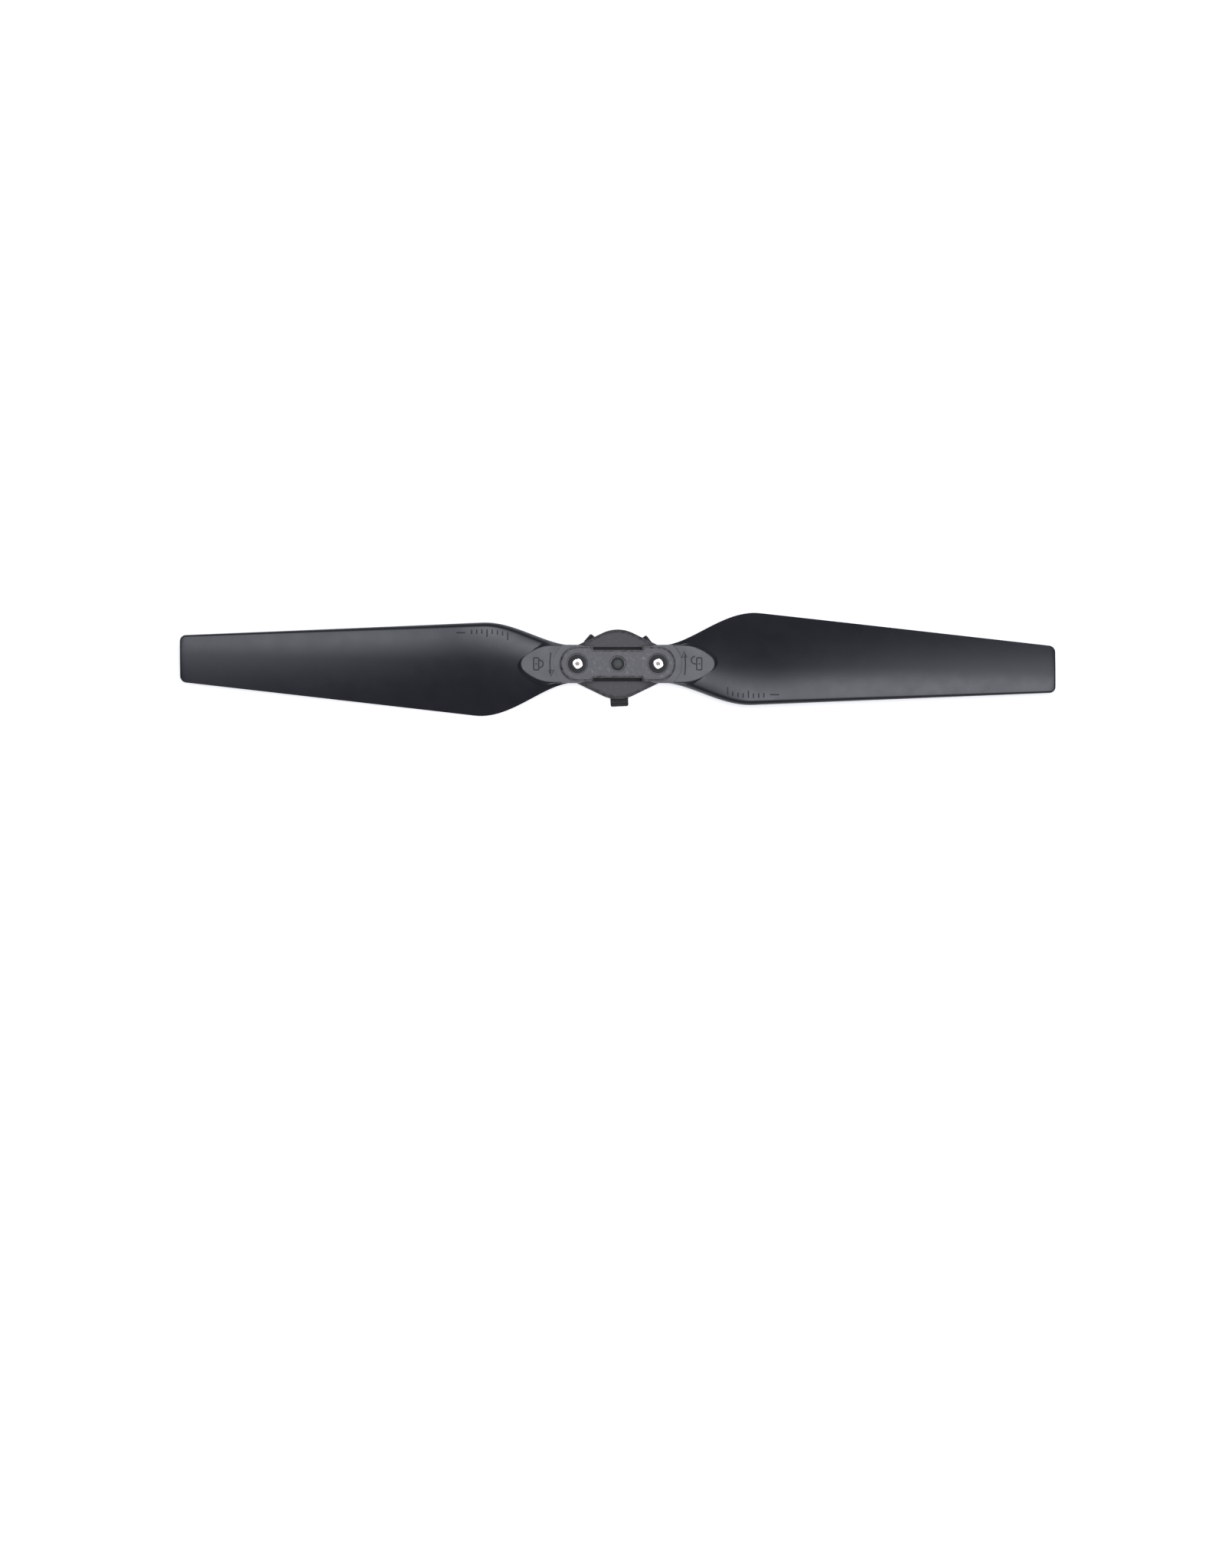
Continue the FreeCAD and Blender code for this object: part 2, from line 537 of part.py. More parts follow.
def build_tongue():
    """The flat root of a blade: a round eye, and a leaf-shaped pad that runs out onto the blade."""
    body = doc.addObject("PartDesign::Body", "tongue")
    sketch = new_sketch(body, "tongue_shape", "dims.tongue_bottom")
    pivot, half, nose = size("pivot_x"), size("eye_radius"), size("tongue_nose")
    side_end = pivot + size("tongue_side")
    nose_centre = pivot + size("tongue_length") - nose
    run = nose_centre - side_end
    flank = (run ** 2 + half ** 2 - nose ** 2) / (2 * (half - nose))
    lean = math.asin(run / (flank - nose))
    up = Vector(0, 0, 1)

    def arc(x, y, radius, start, end):
        return Part.ArcOfCircle(Part.Circle(Vector(x, y, 0), up, radius), start, end)

    right_angle = math.pi / 2
    shapes = [
        arc(pivot, 0, half, right_angle, 3 * right_angle),
        Part.LineSegment(Vector(pivot, -half, 0), Vector(side_end, -half, 0)),
        arc(side_end, flank - half, flank, -right_angle, -right_angle + lean),
        arc(nose_centre, 0, nose, -right_angle + lean, right_angle - lean),
        arc(side_end, half - flank, flank, right_angle - lean, right_angle),
        Part.LineSegment(Vector(side_end, half, 0), Vector(pivot, half, 0)),
    ]
    elements = [sketch.addGeometry(shape) for shape in shapes]
    join_tangent(sketch, elements)
    place_point(sketch, elements[0], 3, "dims.pivot_x", "0")
    radius = sketch.addConstraint(Sketcher.Constraint("Radius", elements[0], half))
    sketch.setExpression(f"Constraints[{radius}]", "dims.eye_radius")
    nose_radius = sketch.addConstraint(Sketcher.Constraint("Radius", elements[3], nose))
    sketch.setExpression(f"Constraints[{nose_radius}]", "dims.tongue_nose")
    place_point(sketch, elements[3], 3, "dims.pivot_x + dims.tongue_length - dims.tongue_nose", "0")
    side = sketch.addConstraint(Sketcher.Constraint("DistanceX", -1, 1, elements[1], 2, side_end))
    sketch.setExpression(f"Constraints[{side}]", "dims.pivot_x + dims.tongue_side")
    leaf = pad(body, sketch, "dims.tongue_thickness + dims.pad_rise", "leaf")
    doc.recompute()
    bottom, top = size("tongue_bottom"), size("tongue_bottom") + size("tongue_thickness") + size("pad_rise")
    upper_rim = fillet(body, leaf, edges_where(leaf.Shape, lambda e: lies_at(e, top)), "dims.pad_edge", "pad_rim")
    doc.recompute()
    body.Tip = fillet(body, upper_rim, edges_where(upper_rim.Shape, lambda e: lies_at(e, bottom)),
                      "dims.tongue_edge", "tongue_rim")
    return body


def pivot_drum(name, radius, bottom, height):
    """A round block about the right-hand pivot, used for cutting."""
    drum = doc.addObject("Part::Cylinder", name)
    bind(drum, Radius=radius, Height=height, Placement__Base__x="dims.pivot_x", Placement__Base__z=bottom)
    return drum


def build_blades():
    """The right-hand blade, and the same blade turned half round for the left-hand pivot."""
    trimmed = doc.addObject("Part::Common", "trimmed_skin")
    trimmed.Base, trimmed.Tool = build_blade_skin(), build_tip_trim()
    joined = doc.addObject("Part::Fuse", "joined_blade")
    joined.Base, joined.Tool = trimmed, build_tongue()
    stepped = doc.addObject("Part::Cut", "stepped_blade")
    stepped.Base = joined
    stepped.Tool = pivot_drum("eye_step", "dims.pad_step_radius", "dims.tongue_bottom + dims.tongue_thickness",
                              "2 * dims.pad_rise")
    right = doc.addObject("Part::Cut", "blade_right")
    right.Base = stepped
    right.Tool = pivot_drum("bush_hole", "dims.bush_radius", "dims.tongue_bottom - dims.overlap",
                            "2 * dims.tongue_thickness")
    left = doc.addObject("Part::Compound", "blade_left")
    left.Links = [right]
    left.Placement = Placement(Vector(), Rotation(Vector(0, 0, 1), 180))
    return [right, left]


# ---------------------------------------------------------------- pivots and shaft insert
def turned_piece(label, corners, sign="", height="0"):
    """A round piece about a pivot axis, or about the shaft when sign is None; corners are (radius, height)."""
    body = doc.addObject("PartDesign::Body", label)
    sketch = new_sketch(body, f"{label}_profile", plane="XZ_Plane")
    polygon(sketch, corners)
    body.Tip = revolve(body, sketch, f"{label}_turned")
    if sign is not None:
        bind(body, Placement__Base__x=f"{sign}dims.pivot_x")
    bind(body, Placement__Base__z=height)
    return body


def washer_corners(inner, outer, thickness):
    """Profile of a flat ring that stands on height 0."""
    return [
        ((1.0, 0.0), (inner, "0")),
        ((2.0, 0.0), (outer, "0")),
        ((2.0, 1.0), (outer, thickness)),
        ((1.0, 1.0), (inner, thickness)),
    ]


def pin_corners():
    """Profile of the pivot pin: lower head, shank, and a formed upper head with a hollow end."""
    foot = "dims.pin_foot_height"
    under_head = f"{foot} + dims.backing_thickness + dims.plate_bottom + dims.plate_thickness" \
        " - dims.counterbore_depth - dims.boss_bottom"
    rim = f"{under_head} + dims.pin_rim_height"
    top = f"{under_head} + dims.pin_head_height"
    return [
        ((0.0, 0.0), ("0", "0")),
        ((1.8, 0.0), ("dims.pin_foot_radius", "0")),
        ((1.8, 0.5), ("dims.pin_foot_radius", foot)),
        ((1.2, 0.5), ("dims.pin_radius", foot)),
        ((1.2, 7.3), ("dims.pin_radius", under_head)),
        ((2.1, 7.3), ("dims.pin_head_radius", under_head)),
        ((2.1, 7.5), ("dims.pin_head_radius", rim)),
        ((1.4, 7.9), ("dims.pin_crown_radius", top)),
        ((0.5, 7.9), ("dims.pin_bore", top)),
        ((0.5, 4.9), ("dims.pin_bore", f"{top} - dims.pin_bore_depth")),
        ((0.0, 4.7), ("0", f"{top} - dims.pin_bore_depth - dims.pin_drill_point")),
    ]


def build_pivots():
    """Pin, backing washer, bush and two thrust washers for each blade."""
    pieces = []
    lower_gap = "dims.tongue_bottom - dims.thrust_play - dims.thrust_thickness"
    upper_gap = "dims.tongue_bottom + dims.tongue_thickness + dims.thrust_play"
    backing_height = "dims.boss_bottom - dims.backing_thickness"
    for side, sign, _ in both_pivots():
        thrust = washer_corners("dims.pin_hole", "dims.thrust_radius", "dims.thrust_thickness")
        backing = washer_corners("dims.pin_hole", "dims.backing_radius", "dims.backing_thickness")
        bush = washer_corners("dims.pin_hole", "dims.bush_radius", "dims.tongue_thickness")
        pieces += [
            turned_piece(f"pivot_pin_{side}", pin_corners(), sign, f"{backing_height} - dims.pin_foot_height"),
            turned_piece(f"backing_washer_{side}", backing, sign, backing_height),
            turned_piece(f"pivot_bush_{side}", bush, sign, "dims.tongue_bottom"),
            turned_piece(f"lower_thrust_washer_{side}", thrust, sign, lower_gap),
            turned_piece(f"upper_thrust_washer_{side}", thrust, sign, upper_gap),
        ]
    return pieces


def build_shaft_insert():
    """Turned insert in the middle of the hub base, with a bore for the motor's centre post and a domed nose."""
    body = doc.addObject("PartDesign::Body", "shaft_insert")
    sketch = new_sketch(body, "shaft_insert_profile", plane="XZ_Plane")
    bottom, shoulder = "dims.cup_depth", "dims.insert_shoulder"
    bore_end = f"{bottom} + dims.shaft_bore_depth"
    polygon(sketch, [
        ((1.2, 1.9), ("dims.shaft_bore", bottom)),
        ((2.3, 1.9), ("dims.insert_radius", bottom)),
        ((2.3, 5.6), ("dims.insert_radius", shoulder)),
        ((1.4, 5.6), ("dims.insert_nose_radius", shoulder)),
        ((1.4, 7.8), ("dims.insert_nose_radius", "dims.insert_nose_top - dims.insert_dome")),
        ((1.0, 8.1), ("dims.insert_crown_radius", "dims.insert_nose_top - dims.insert_crown_drop")),
        ((0.0, 8.2), ("0", "dims.insert_nose_top")),
        ((0.0, 5.3), ("0", bore_end)),
        ((1.2, 5.3), ("dims.shaft_bore", bore_end)),
    ])
    body.Tip = revolve(body, sketch, "shaft_insert_turned")
    return body


# ---------------------------------------------------------------- build, check and write
def check_and_write(pieces):
    """Stops on a broken feature or solid; otherwise writes one STEP file a piece."""
    doc.recompute()
    for item in doc.Objects:
        if "Invalid" in item.State or "Error" in item.State:
            raise RuntimeError(f"{item.Label} does not build: {item.State}")
    os.makedirs("parts", exist_ok=True)
    for piece in pieces:
        shape = piece.Shape
        if shape.isNull() or not shape.isValid() or len(shape.Solids) != 1:
            raise RuntimeError(f"{piece.Label} is not one valid solid")
        shape.exportStep(f"parts/{piece.Label}.step")
        print(piece.Label, round(shape.Volume, 2), "mm3")


write_sheet()
check_and_write([build_hub_base(), build_top_plate(), *build_blades(), *build_pivots(), build_shaft_insert()])
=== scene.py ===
"""Looks of a folding quick-release propeller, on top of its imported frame.

Laid out as an add-on and run as a script: the frame is loaded first, then each operator makes one group of
pieces or finishes, and the stage comes last. Lengths are metres, in the frame's own axes: +Z along the shaft
away from the motor, the blades along +X and -X.
"""

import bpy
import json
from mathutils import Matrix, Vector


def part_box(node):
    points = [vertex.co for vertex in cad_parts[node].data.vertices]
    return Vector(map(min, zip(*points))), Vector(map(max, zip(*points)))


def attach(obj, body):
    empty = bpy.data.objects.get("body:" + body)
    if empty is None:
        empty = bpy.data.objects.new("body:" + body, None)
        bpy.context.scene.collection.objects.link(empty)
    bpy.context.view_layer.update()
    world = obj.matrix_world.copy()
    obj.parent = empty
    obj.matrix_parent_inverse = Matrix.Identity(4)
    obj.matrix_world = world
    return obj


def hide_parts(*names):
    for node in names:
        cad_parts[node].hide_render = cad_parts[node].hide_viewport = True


bl_info = {
    "name": "Folding propeller looks",
    "version": (1, 0, 0),
    "blender": (4, 5, 0),
    "location": "View3D > Sidebar > Propeller",
    "description": "Blades, rivets, moulded marks, finishes and studio for a folding propeller",
    "category": "Object",
}

import json
import math

import bmesh
import bpy
from bpy.props import FloatProperty, FloatVectorProperty, IntProperty, PointerProperty
from bpy.types import Operator, Panel, PropertyGroup
from mathutils import Vector

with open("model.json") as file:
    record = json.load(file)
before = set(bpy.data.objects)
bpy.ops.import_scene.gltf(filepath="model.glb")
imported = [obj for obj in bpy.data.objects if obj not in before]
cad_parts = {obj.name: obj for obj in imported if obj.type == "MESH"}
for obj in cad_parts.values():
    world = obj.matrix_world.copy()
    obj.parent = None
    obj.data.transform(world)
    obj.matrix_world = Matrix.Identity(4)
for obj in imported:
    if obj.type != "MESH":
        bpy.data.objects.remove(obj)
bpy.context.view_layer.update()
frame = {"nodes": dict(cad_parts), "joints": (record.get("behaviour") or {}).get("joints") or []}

MM = 0.001
UP = Vector((0, 0, 1))
SIDES = ("right", "left")  # the left-hand parts are the right-hand ones turned half round
SAME_PLACE = 1e-7  # points closer than this are one point
PIVOT_X = frame["joints"][0]["pos_m"][0]
TIP_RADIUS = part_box("blade_right")[1][0]
EYE_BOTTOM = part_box("pivot_bush_right")[0][2]
EYE_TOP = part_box("pivot_bush_right")[1][2]
BUSH_RADIUS = (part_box("pivot_bush_right")[1][0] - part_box("pivot_bush_right")[0][0]) / 2
PLATE_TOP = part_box("top_plate")[1][2]
PAD_RISE = 0.7 * MM
PAD_TOP = EYE_TOP + PAD_RISE
# Painted shade: below these heights the hub's colour is darkened, most at the lower one, as if less light
# reached the slots and lugs. The plastic is also made rougher there.
LOW_PARTS, HIGH_PARTS = 2.4 * MM, 4.4 * MM  # heights between which the hub's plastic goes from dull to plain
SENSOR_WIDTH = 36  # of the camera, in millimetres


def length(name, description, default):
    """A length property in metres."""
    return FloatProperty(name=name, description=description, default=default, min=0.0,
                         subtype="DISTANCE", unit="LENGTH", precision=6)


def ratio(name, description, default):
    """A property without a unit."""
    return FloatProperty(name=name, description=description, default=default)


def colour(name, description, default):
    """A linear colour property."""
    return FloatVectorProperty(name=name, description=description, default=default, size=3,
                               subtype="COLOR", min=0.0, max=1.0)


# ------------------------------------------------------------------------------------------ sizes and colours
class BladeSizes(PropertyGroup):
    """Outline, section and root of a blade."""
    start: length("Start", "Radius of the innermost section", 10.2 * MM)
    root_half_width: length("Root half width", "Half width where the blade leaves its tongue", 4.15 * MM)
    flare_start: length("Flare start", "Radius where the blade starts to widen", 9.5 * MM)
    leading_flare_end: length("Leading flare end", "Radius of the widest leading side", 30.0 * MM)
    leading_widest: length("Leading widest", "Leading edge to the pitch axis there", 9.16 * MM)
    leading_tip: length("Leading tip", "Leading edge to the pitch axis at the tip", 6.42 * MM)
    trailing_flare_end: length("Trailing flare end", "Radius of the widest trailing side", 32.0 * MM)
    trailing_widest: length("Trailing widest", "Trailing edge to the pitch axis there", 11.45 * MM)
    trailing_tip: length("Trailing tip", "Trailing edge to the pitch axis at the tip", 3.97 * MM)
    tip_corner: length("Tip corner", "Corner radius of the tip", 1.3 * MM)
    tip_roll: length("Tip roll", "Rounding of the tip's edge", 0.3 * MM)
    pitch: length("Pitch", "Advance in one turn", 71.12 * MM)
    axis_height: length("Axis height", "Height of the line that the sections turn about", 5.3 * MM)
    twist_start: length("Twist start", "Radius where the blade starts to twist", 9.0 * MM)
    twist_end: length("Twist end", "Radius from which the pitch is full", 36.0 * MM)
    thickness_root: length("Root thickness", "Section thickness at the root", 2.8 * MM)
    thickness_widest: length("Middle thickness", "Section thickness at the widest place", 1.7 * MM)
    thickness_tip: length("Tip thickness", "Section thickness at the tip", 0.9 * MM)
    trailing_edge: length("Trailing edge", "Thickness of the trailing edge", 0.26 * MM)
    camber_root: ratio("Root camber", "Camber over chord at the root", 0.085)
    camber_tip: ratio("Tip camber", "Camber over chord at the tip", 0.035)
    camber_peak: ratio("Camber peak", "Share of the chord where the camber is highest", 0.4)
    nose_length: ratio("Nose", "Rounded nose over section thickness", 0.4)
    thinning: ratio("Thinning", "Keeps the section thick for longer", 1.3)
    section_points: IntProperty(name="Section points", description="Points on each face", default=30, min=8)
    stations: IntProperty(name="Stations", description="Sections from root to tip", default=96, min=12)


class TongueSizes(PropertyGroup):
    """Flat root of a blade: the eye and the leaf-shaped pad."""
    eye_radius: length("Eye radius", "End radius of the tongue, and half its width", 4.25 * MM)
    side: length("Straight side", "From the pivot outwards", 5.0 * MM)
    nose: length("Nose radius", "Outer end of the pad", 2.2 * MM)
    reach: length("Length", "Pivot to the end of the nose", 12.65 * MM)
    pad_edge: length("Pad edge", "Rounding of the pad's upper rim", 0.25 * MM)
    skirt: length("Skirt", "How far the pad's side slopes out onto the blade", 0.7 * MM)
    skirt_drop: length("Skirt drop", "How far that side falls", 0.4 * MM)
    skirt_top: length("Skirt top", "Start of that slope below the pad's face", 0.1 * MM)
    skirt_start: length("Skirt start", "Distance from the shaft where the slope begins", 13.5 * MM)
    skirt_end: length("Skirt end", "Distance from the shaft where it is at its widest", 16.5 * MM)
    lower_edge: length("Lower edge", "Rounding of the lower rim", 0.25 * MM)
    step_radius: length("Step radius", "Step between the eye and the pad", 5.4 * MM)


class MarkSizes(PropertyGroup):
    """Moulded lines: a padlock and a turning arrow on each pad, and a plain ruled mark on each blade."""
    bead: length("Bead", "Radius of a moulded line", 0.15 * MM)
    arrow_radius: length("Arrow radius", "Shaft axis to the turning arrow", 15.1 * MM)
    arrow_half_length: length("Arrow half length", "Along the arc", 2.5 * MM)
    head_length: length("Arrow head", "Length of the arrow's head", 1.3 * MM)
    head_half_width: length("Arrow head half width", "Half width of the arrow's head", 0.55 * MM)
    head_ahead: ratio("Head ahead", "Place of the head's tip over the arc's half length", 1.12)
    lock_radius: length("Lock radius", "Shaft axis to the padlock's middle", 17.7 * MM)
    lock_width: length("Lock width", "Across the padlock's body", 2.7 * MM)
    lock_height: length("Lock height", "Along the padlock's body", 1.15 * MM)
    lock_corner: length("Lock corner", "Corner radius of the padlock's body", 0.25 * MM)
    lock_inset: length("Lock inset", "Body's inner side, inwards of the padlock's middle", 0.1 * MM)
    shackle_share: ratio("Shackle", "Shackle's radius over the body's half width", 0.62)
    shackle_slide: ratio("Slide", "Sideways slide of an open shackle over the same half width", 0.6)
    shackle_closed: length("Closed leg", "Straight leg of a closed shackle", 0.15 * MM)
    shackle_open: length("Open leg", "Straight leg of an open shackle", 0.35 * MM)
    ruled_start: length("Ruled mark start", "Shaft axis to the first tick", 24.5 * MM)
    ruled_gap: length("Ruled mark gap", "Tick to tick", 1.15 * MM)
    ruled_ticks: IntProperty(name="Ticks", description="Ticks in the ruled mark", default=8, min=1)
    ruled_group: IntProperty(name="Tick group", description="One tick in so many is long", default=4, min=1)
    tick_inset: length("Tick inset", "Leading edge to the foot of a tick", 1.5 * MM)
    tick_long: length("Long tick", "Length of a long tick", 1.7 * MM)
    tick_short: length("Short tick", "Length of a short tick", 1.0 * MM)
    bar_place: ratio("Bar place", "First tick to the bar, in gaps", 8.2)
    bar_inset: length("Bar inset", "Leading edge to the bar", 2.1 * MM)
    bar_length: length("Bar length", "Along the blade", 2.0 * MM)


class RivetSizes(PropertyGroup):
    """A pivot rivet: a crowned head above, a flat foot below."""
    head_height: length("Head height", "Seat to the top of the crown", 0.55 * MM)
    head_radius: length("Head radius", "Outside of the head", 2.1 * MM)
    head_edge: length("Head edge", "Bevel of the head's lower rim", 0.08 * MM)
    rim_height: length("Rim height", "Seat to the top of the head's rim", 0.14 * MM)
    rim_lean: length("Rim lean", "How far the rim leans in", 0.04 * MM)
    crown_radius: length("Crown radius", "Outside of the polished crown", 1.3 * MM)
    crown_edge: length("Crown edge", "Rounding of the crown's rim", 0.04 * MM)
    shank_radius: length("Shank radius", "The pin itself", 1.2 * MM)
    foot_radius: length("Foot radius", "Outside of the foot", 1.75 * MM)
    foot_height: length("Foot height", "Height of the foot", 0.5 * MM)
    foot_edge: length("Foot edge", "Bevel of the foot's lower rim", 0.15 * MM)
    # The dent is a shallow hollow in the crown, and its floor is coloured dull beige-grey.
    dent_radius: length("Dent radius", "Hollow end, filled by the plug", 0.5 * MM)
    dent_depth: length("Dent depth", "Crown to the face of the plug", 0.06 * MM)


class Finishes(PropertyGroup):
    """Colours of the mouldings and metals."""
    blade: colour("Blade", "Satin blade plastic", (0.0105, 0.0110, 0.0150))
    hub: colour("Hub", "Glass-filled hub plastic", (0.080, 0.078, 0.080))
    rivet: colour("Rivet", "Polished steel", (0.86, 0.83, 0.80))
    # Dull beige-grey colour given to the floor of the rivet's dent.
    rivet_dent_tone: colour("Rivet plug", "Dull filling of the rivet's hollow end", (0.34, 0.29, 0.26))
    # Painted shade: near-black colour on the rivet head's flank round the crown, standing for the dark
    # reflection of that slope.
    rivet_flank_painted_shade: colour("Rivet flank", "Blackened steel round the crown", (0.025, 0.025, 0.026))
    washer: colour("Washer", "Plain steel", (0.55, 0.55, 0.56))
    bush: colour("Bush", "Turned brass", (0.72, 0.55, 0.28))
    slip: colour("Slip washer", "Black sheet", (0.02, 0.02, 0.022))
    insert: colour("Insert", "Dark oxide steel", (0.036, 0.040, 0.036))


class StageSizes(PropertyGroup):
    """Floor, lights and camera."""
    picture_width: length("Picture width", "Width of the view at the object", 272.96 * MM)
    right_of_shaft: FloatProperty(name="Across", description="View's middle, right of the shaft",
                                  default=-1.16 * MM, subtype="DISTANCE", unit="LENGTH", precision=6)
    above_shaft: FloatProperty(name="Along", description="View's middle, above the shaft",
                               default=-26.8 * MM, subtype="DISTANCE", unit="LENGTH", precision=6)
    camera_height: length("Camera height", "Above the floor", 1.2)
    floor: colour("Floor", "Plain pale floor", (0.90, 0.90, 0.90))
    floor_size: length("Floor size", "Side of the floor", 6.0)
    floor_drop: length("Floor drop", "Floor below the lowest part", 0.02 * MM)
    floor_glow: ratio("Floor glow", "Light that the floor gives off itself", 0.5)
    air: ratio("Air", "Strength of the light from all round", 0.06)


GROUPS = {
    "propeller_blade": BladeSizes,
    "propeller_tongue": TongueSizes,
    "propeller_marks": MarkSizes,
    "propeller_rivet": RivetSizes,
    "propeller_finishes": Finishes,
    "propeller_stage": StageSizes,
}


# ------------------------------------------------------------------------------------------ small helpers
def clear_selection():
    """Leaves edit mode and selects nothing."""
    if bpy.context.object and bpy.context.object.mode != "OBJECT":
        bpy.ops.object.mode_set(mode="OBJECT")
    bpy.ops.object.select_all(action="DESELECT")


def pick(piece):
    """Makes one object the only selected and the active one."""
    clear_selection()
    piece.select_set(True)
    bpy.context.view_layer.objects.active = piece


def named(name):
    """Names the active object and its mesh."""
    piece = bpy.context.object
    piece.name = name
    piece.data.name = name
    return piece


def settle(piece):
    """Puts the object at the origin, unturned and unscaled, with its place in its mesh."""
    pick(piece)
    bpy.ops.object.transform_apply(location=True, rotation=True, scale=True)


def apply_modifier(piece, kind, name, **settings):
    """Adds a modifier, sets it up and applies it."""
    pick(piece)
    modifier = piece.modifiers.new(name, kind)
    for key, value in settings.items():
        setattr(modifier, key, value)
    bpy.ops.object.modifier_apply(modifier=name)


def combine(piece, tool, operation):
    """Adds or cuts away another closed object, which is then removed."""
    apply_modifier(piece, "BOOLEAN", operation.lower(), operation=operation, object=tool, solver="EXACT")
    bpy.data.objects.remove(tool)


def tidy_mesh(piece, angle=35.0):
    """Merges doubles, turns every face outwards, and shades smooth but for sharp edges and flats."""
    pick(piece)
    bpy.ops.object.mode_set(mode="EDIT")
    bpy.ops.mesh.select_all(action="SELECT")
    bpy.ops.mesh.remove_doubles(threshold=SAME_PLACE)
    bpy.ops.mesh.normals_make_consistent(inside=False)
    bpy.ops.object.mode_set(mode="OBJECT")
    bpy.ops.object.shade_smooth_by_angle(angle=math.radians(angle))
    apply_modifier(piece, "WEIGHTED_NORMAL", "flats", keep_sharp=True, weight=80)


def select_where(mesh, test):
    """Selects, in edit mode, the vertices that pass the test and whatever lies wholly between them."""
    for element in (*mesh.verts, *mesh.edges, *mesh.faces):
        element.select = False
    for vertex in mesh.verts:
        vertex.select = test(vertex)
    mesh.select_flush(True)


def turn_half(piece):
    """Turns the object half round the shaft."""
    pick(piece)
    bpy.ops.transform.rotate(value=math.pi, orient_axis="Z", center_override=(0, 0, 0))
    settle(piece)


def half_turned(piece, name):
    """A copy with its own mesh, turned half round the shaft."""
    pick(piece)
    bpy.ops.object.duplicate()
    copy = named(name)
    turn_half(copy)
    return copy


def coat(piece, *materials):
    """Replaces the piece's materials."""
    piece.data.materials.clear()
    for material in materials:
        piece.data.materials.append(material)


def spun(name, profile, centre, steps=72):
    """A round piece: a profile of (radius, height) points, spun about a vertical axis through centre."""
    clear_selection()
    bpy.ops.mesh.primitive_circle_add(vertices=len(profile), radius=1, location=(0, 0, 0))
    piece = named(name)
    bpy.ops.object.mode_set(mode="EDIT")
    mesh = bmesh.from_edit_mesh(piece.data)
    mesh.verts.ensure_lookup_table()
    for vertex, (radius, height) in zip(mesh.verts, profile):
        vertex.co = centre + Vector((radius, 0, height))
    closing = [edge for edge in mesh.edges if all(abs(v.co.x - centre.x) < 1e-9 for v in edge.verts)]
    bmesh.ops.delete(mesh, geom=closing, context="EDGES")
    bmesh.update_edit_mesh(piece.data)
    bpy.ops.mesh.select_all(action="SELECT")
    bpy.ops.mesh.spin(steps=steps, angle=2 * math.pi, center=centre, axis=UP)
    bpy.ops.object.mode_set(mode="OBJECT")
    return piece


# ------------------------------------------------------------------------------------------ blade shape
def smooth_share(value, start, end):
    """0 before start, 1 after end, and a smooth rise between them."""
    share = min(max((value - start) / (end - start), 0.0), 1.0)
    return share * share * (3 - 2 * share)


def edge_offset(sizes, radius, side):
    """Leading or trailing edge to the pitch axis: a flare, a straight taper and a rounded tip corner."""
    flare_end = getattr(sizes, f"{side}_flare_end")
    widest = getattr(sizes, f"{side}_widest")
    tip = getattr(sizes, f"{side}_tip")
    taper = widest + (tip - widest) * (radius - flare_end) / (TIP_RADIUS - flare_end)
    share = smooth_share(radius, sizes.flare_start, flare_end)
    into_corner = max(0.0, radius - TIP_RADIUS + sizes.tip_corner)
    corner = sizes.tip_corner - math.sqrt(max(0.0, sizes.tip_corner ** 2 - into_corner ** 2))
    return sizes.root_half_width * (1 - share) + taper * share - corner


def twist(sizes, radius):
    """Pitch angle: the helix of one pitch a turn, easing to flat at the root."""
    helix = math.atan(sizes.pitch / (2 * math.pi * radius))
    return helix * smooth_share(radius, sizes.twist_start, sizes.twist_end)


def section_thickness(sizes, radius):
    """Section thickness, rolled off over the last of the tip."""
    thinnest = 0.25
    middle = sizes.leading_flare_end
    if radius < middle:
        share = smooth_share(radius, sizes.start, middle)
        return sizes.thickness_root + (sizes.thickness_widest - sizes.thickness_root) * share
    share = (radius - middle) / (TIP_RADIUS - middle)
    plain = sizes.thickness_widest + (sizes.thickness_tip - sizes.thickness_widest) * share
    into_roll = max(0.0, (radius - TIP_RADIUS) / sizes.tip_roll + 1)
    return plain * max(thinnest, math.sqrt(max(0.0, 1 - into_roll ** 2)))


def section_point(sizes, radius, share, face):
    """A point of the skin, a share of the chord from the nose, on the face above (1) or below (-1)."""
    leading = edge_offset(sizes, radius, "leading")
    trailing = edge_offset(sizes, radius, "trailing")
    angle = twist(sizes, radius)
    thickness = section_thickness(sizes, radius)
    chord = (leading + trailing) / math.cos(angle)
    outwards = (radius - sizes.start) / (TIP_RADIUS - sizes.start)
    camber = (sizes.camber_root + (sizes.camber_tip - sizes.camber_root) * outwards) * chord
    nose = sizes.nose_length * thickness / chord
    sharp = 1 - min(sizes.trailing_edge / thickness, 1.0)
    rounding = math.sqrt(1 - (1 - min(share / nose, 1.0)) ** 2)
    thinning = 1 - sharp * max(0.0, (share - nose) / (1 - nose)) ** sizes.thinning
    half = thickness / 2 * rounding * thinning
    highest = sizes.camber_peak
    if share < highest:
        bow = (2 * highest * share - share ** 2) / highest ** 2
    else:
        bow = (1 - 2 * highest + 2 * highest * share - share ** 2) / (1 - highest) ** 2
    above = camber * bow + face * half
    along = share * chord
    y = -leading + along * math.cos(angle) + above * math.sin(angle)
    z = sizes.axis_height + leading * math.tan(angle) - along * math.sin(angle) + above * math.cos(angle)
    return Vector((radius, y, z))


def station_radius(sizes, share):
    """Radius of a section: close together at the root, and again round the tip's corners."""
    corner_share, crowding = 0.88, 1.5
    corner = TIP_RADIUS - sizes.tip_corner
    if share <= corner_share:
        return sizes.start + (corner - sizes.start) * (share / corner_share) ** crowding
    return corner + sizes.tip_corner * math.sin((share - corner_share) / (1 - corner_share) * math.pi / 2)


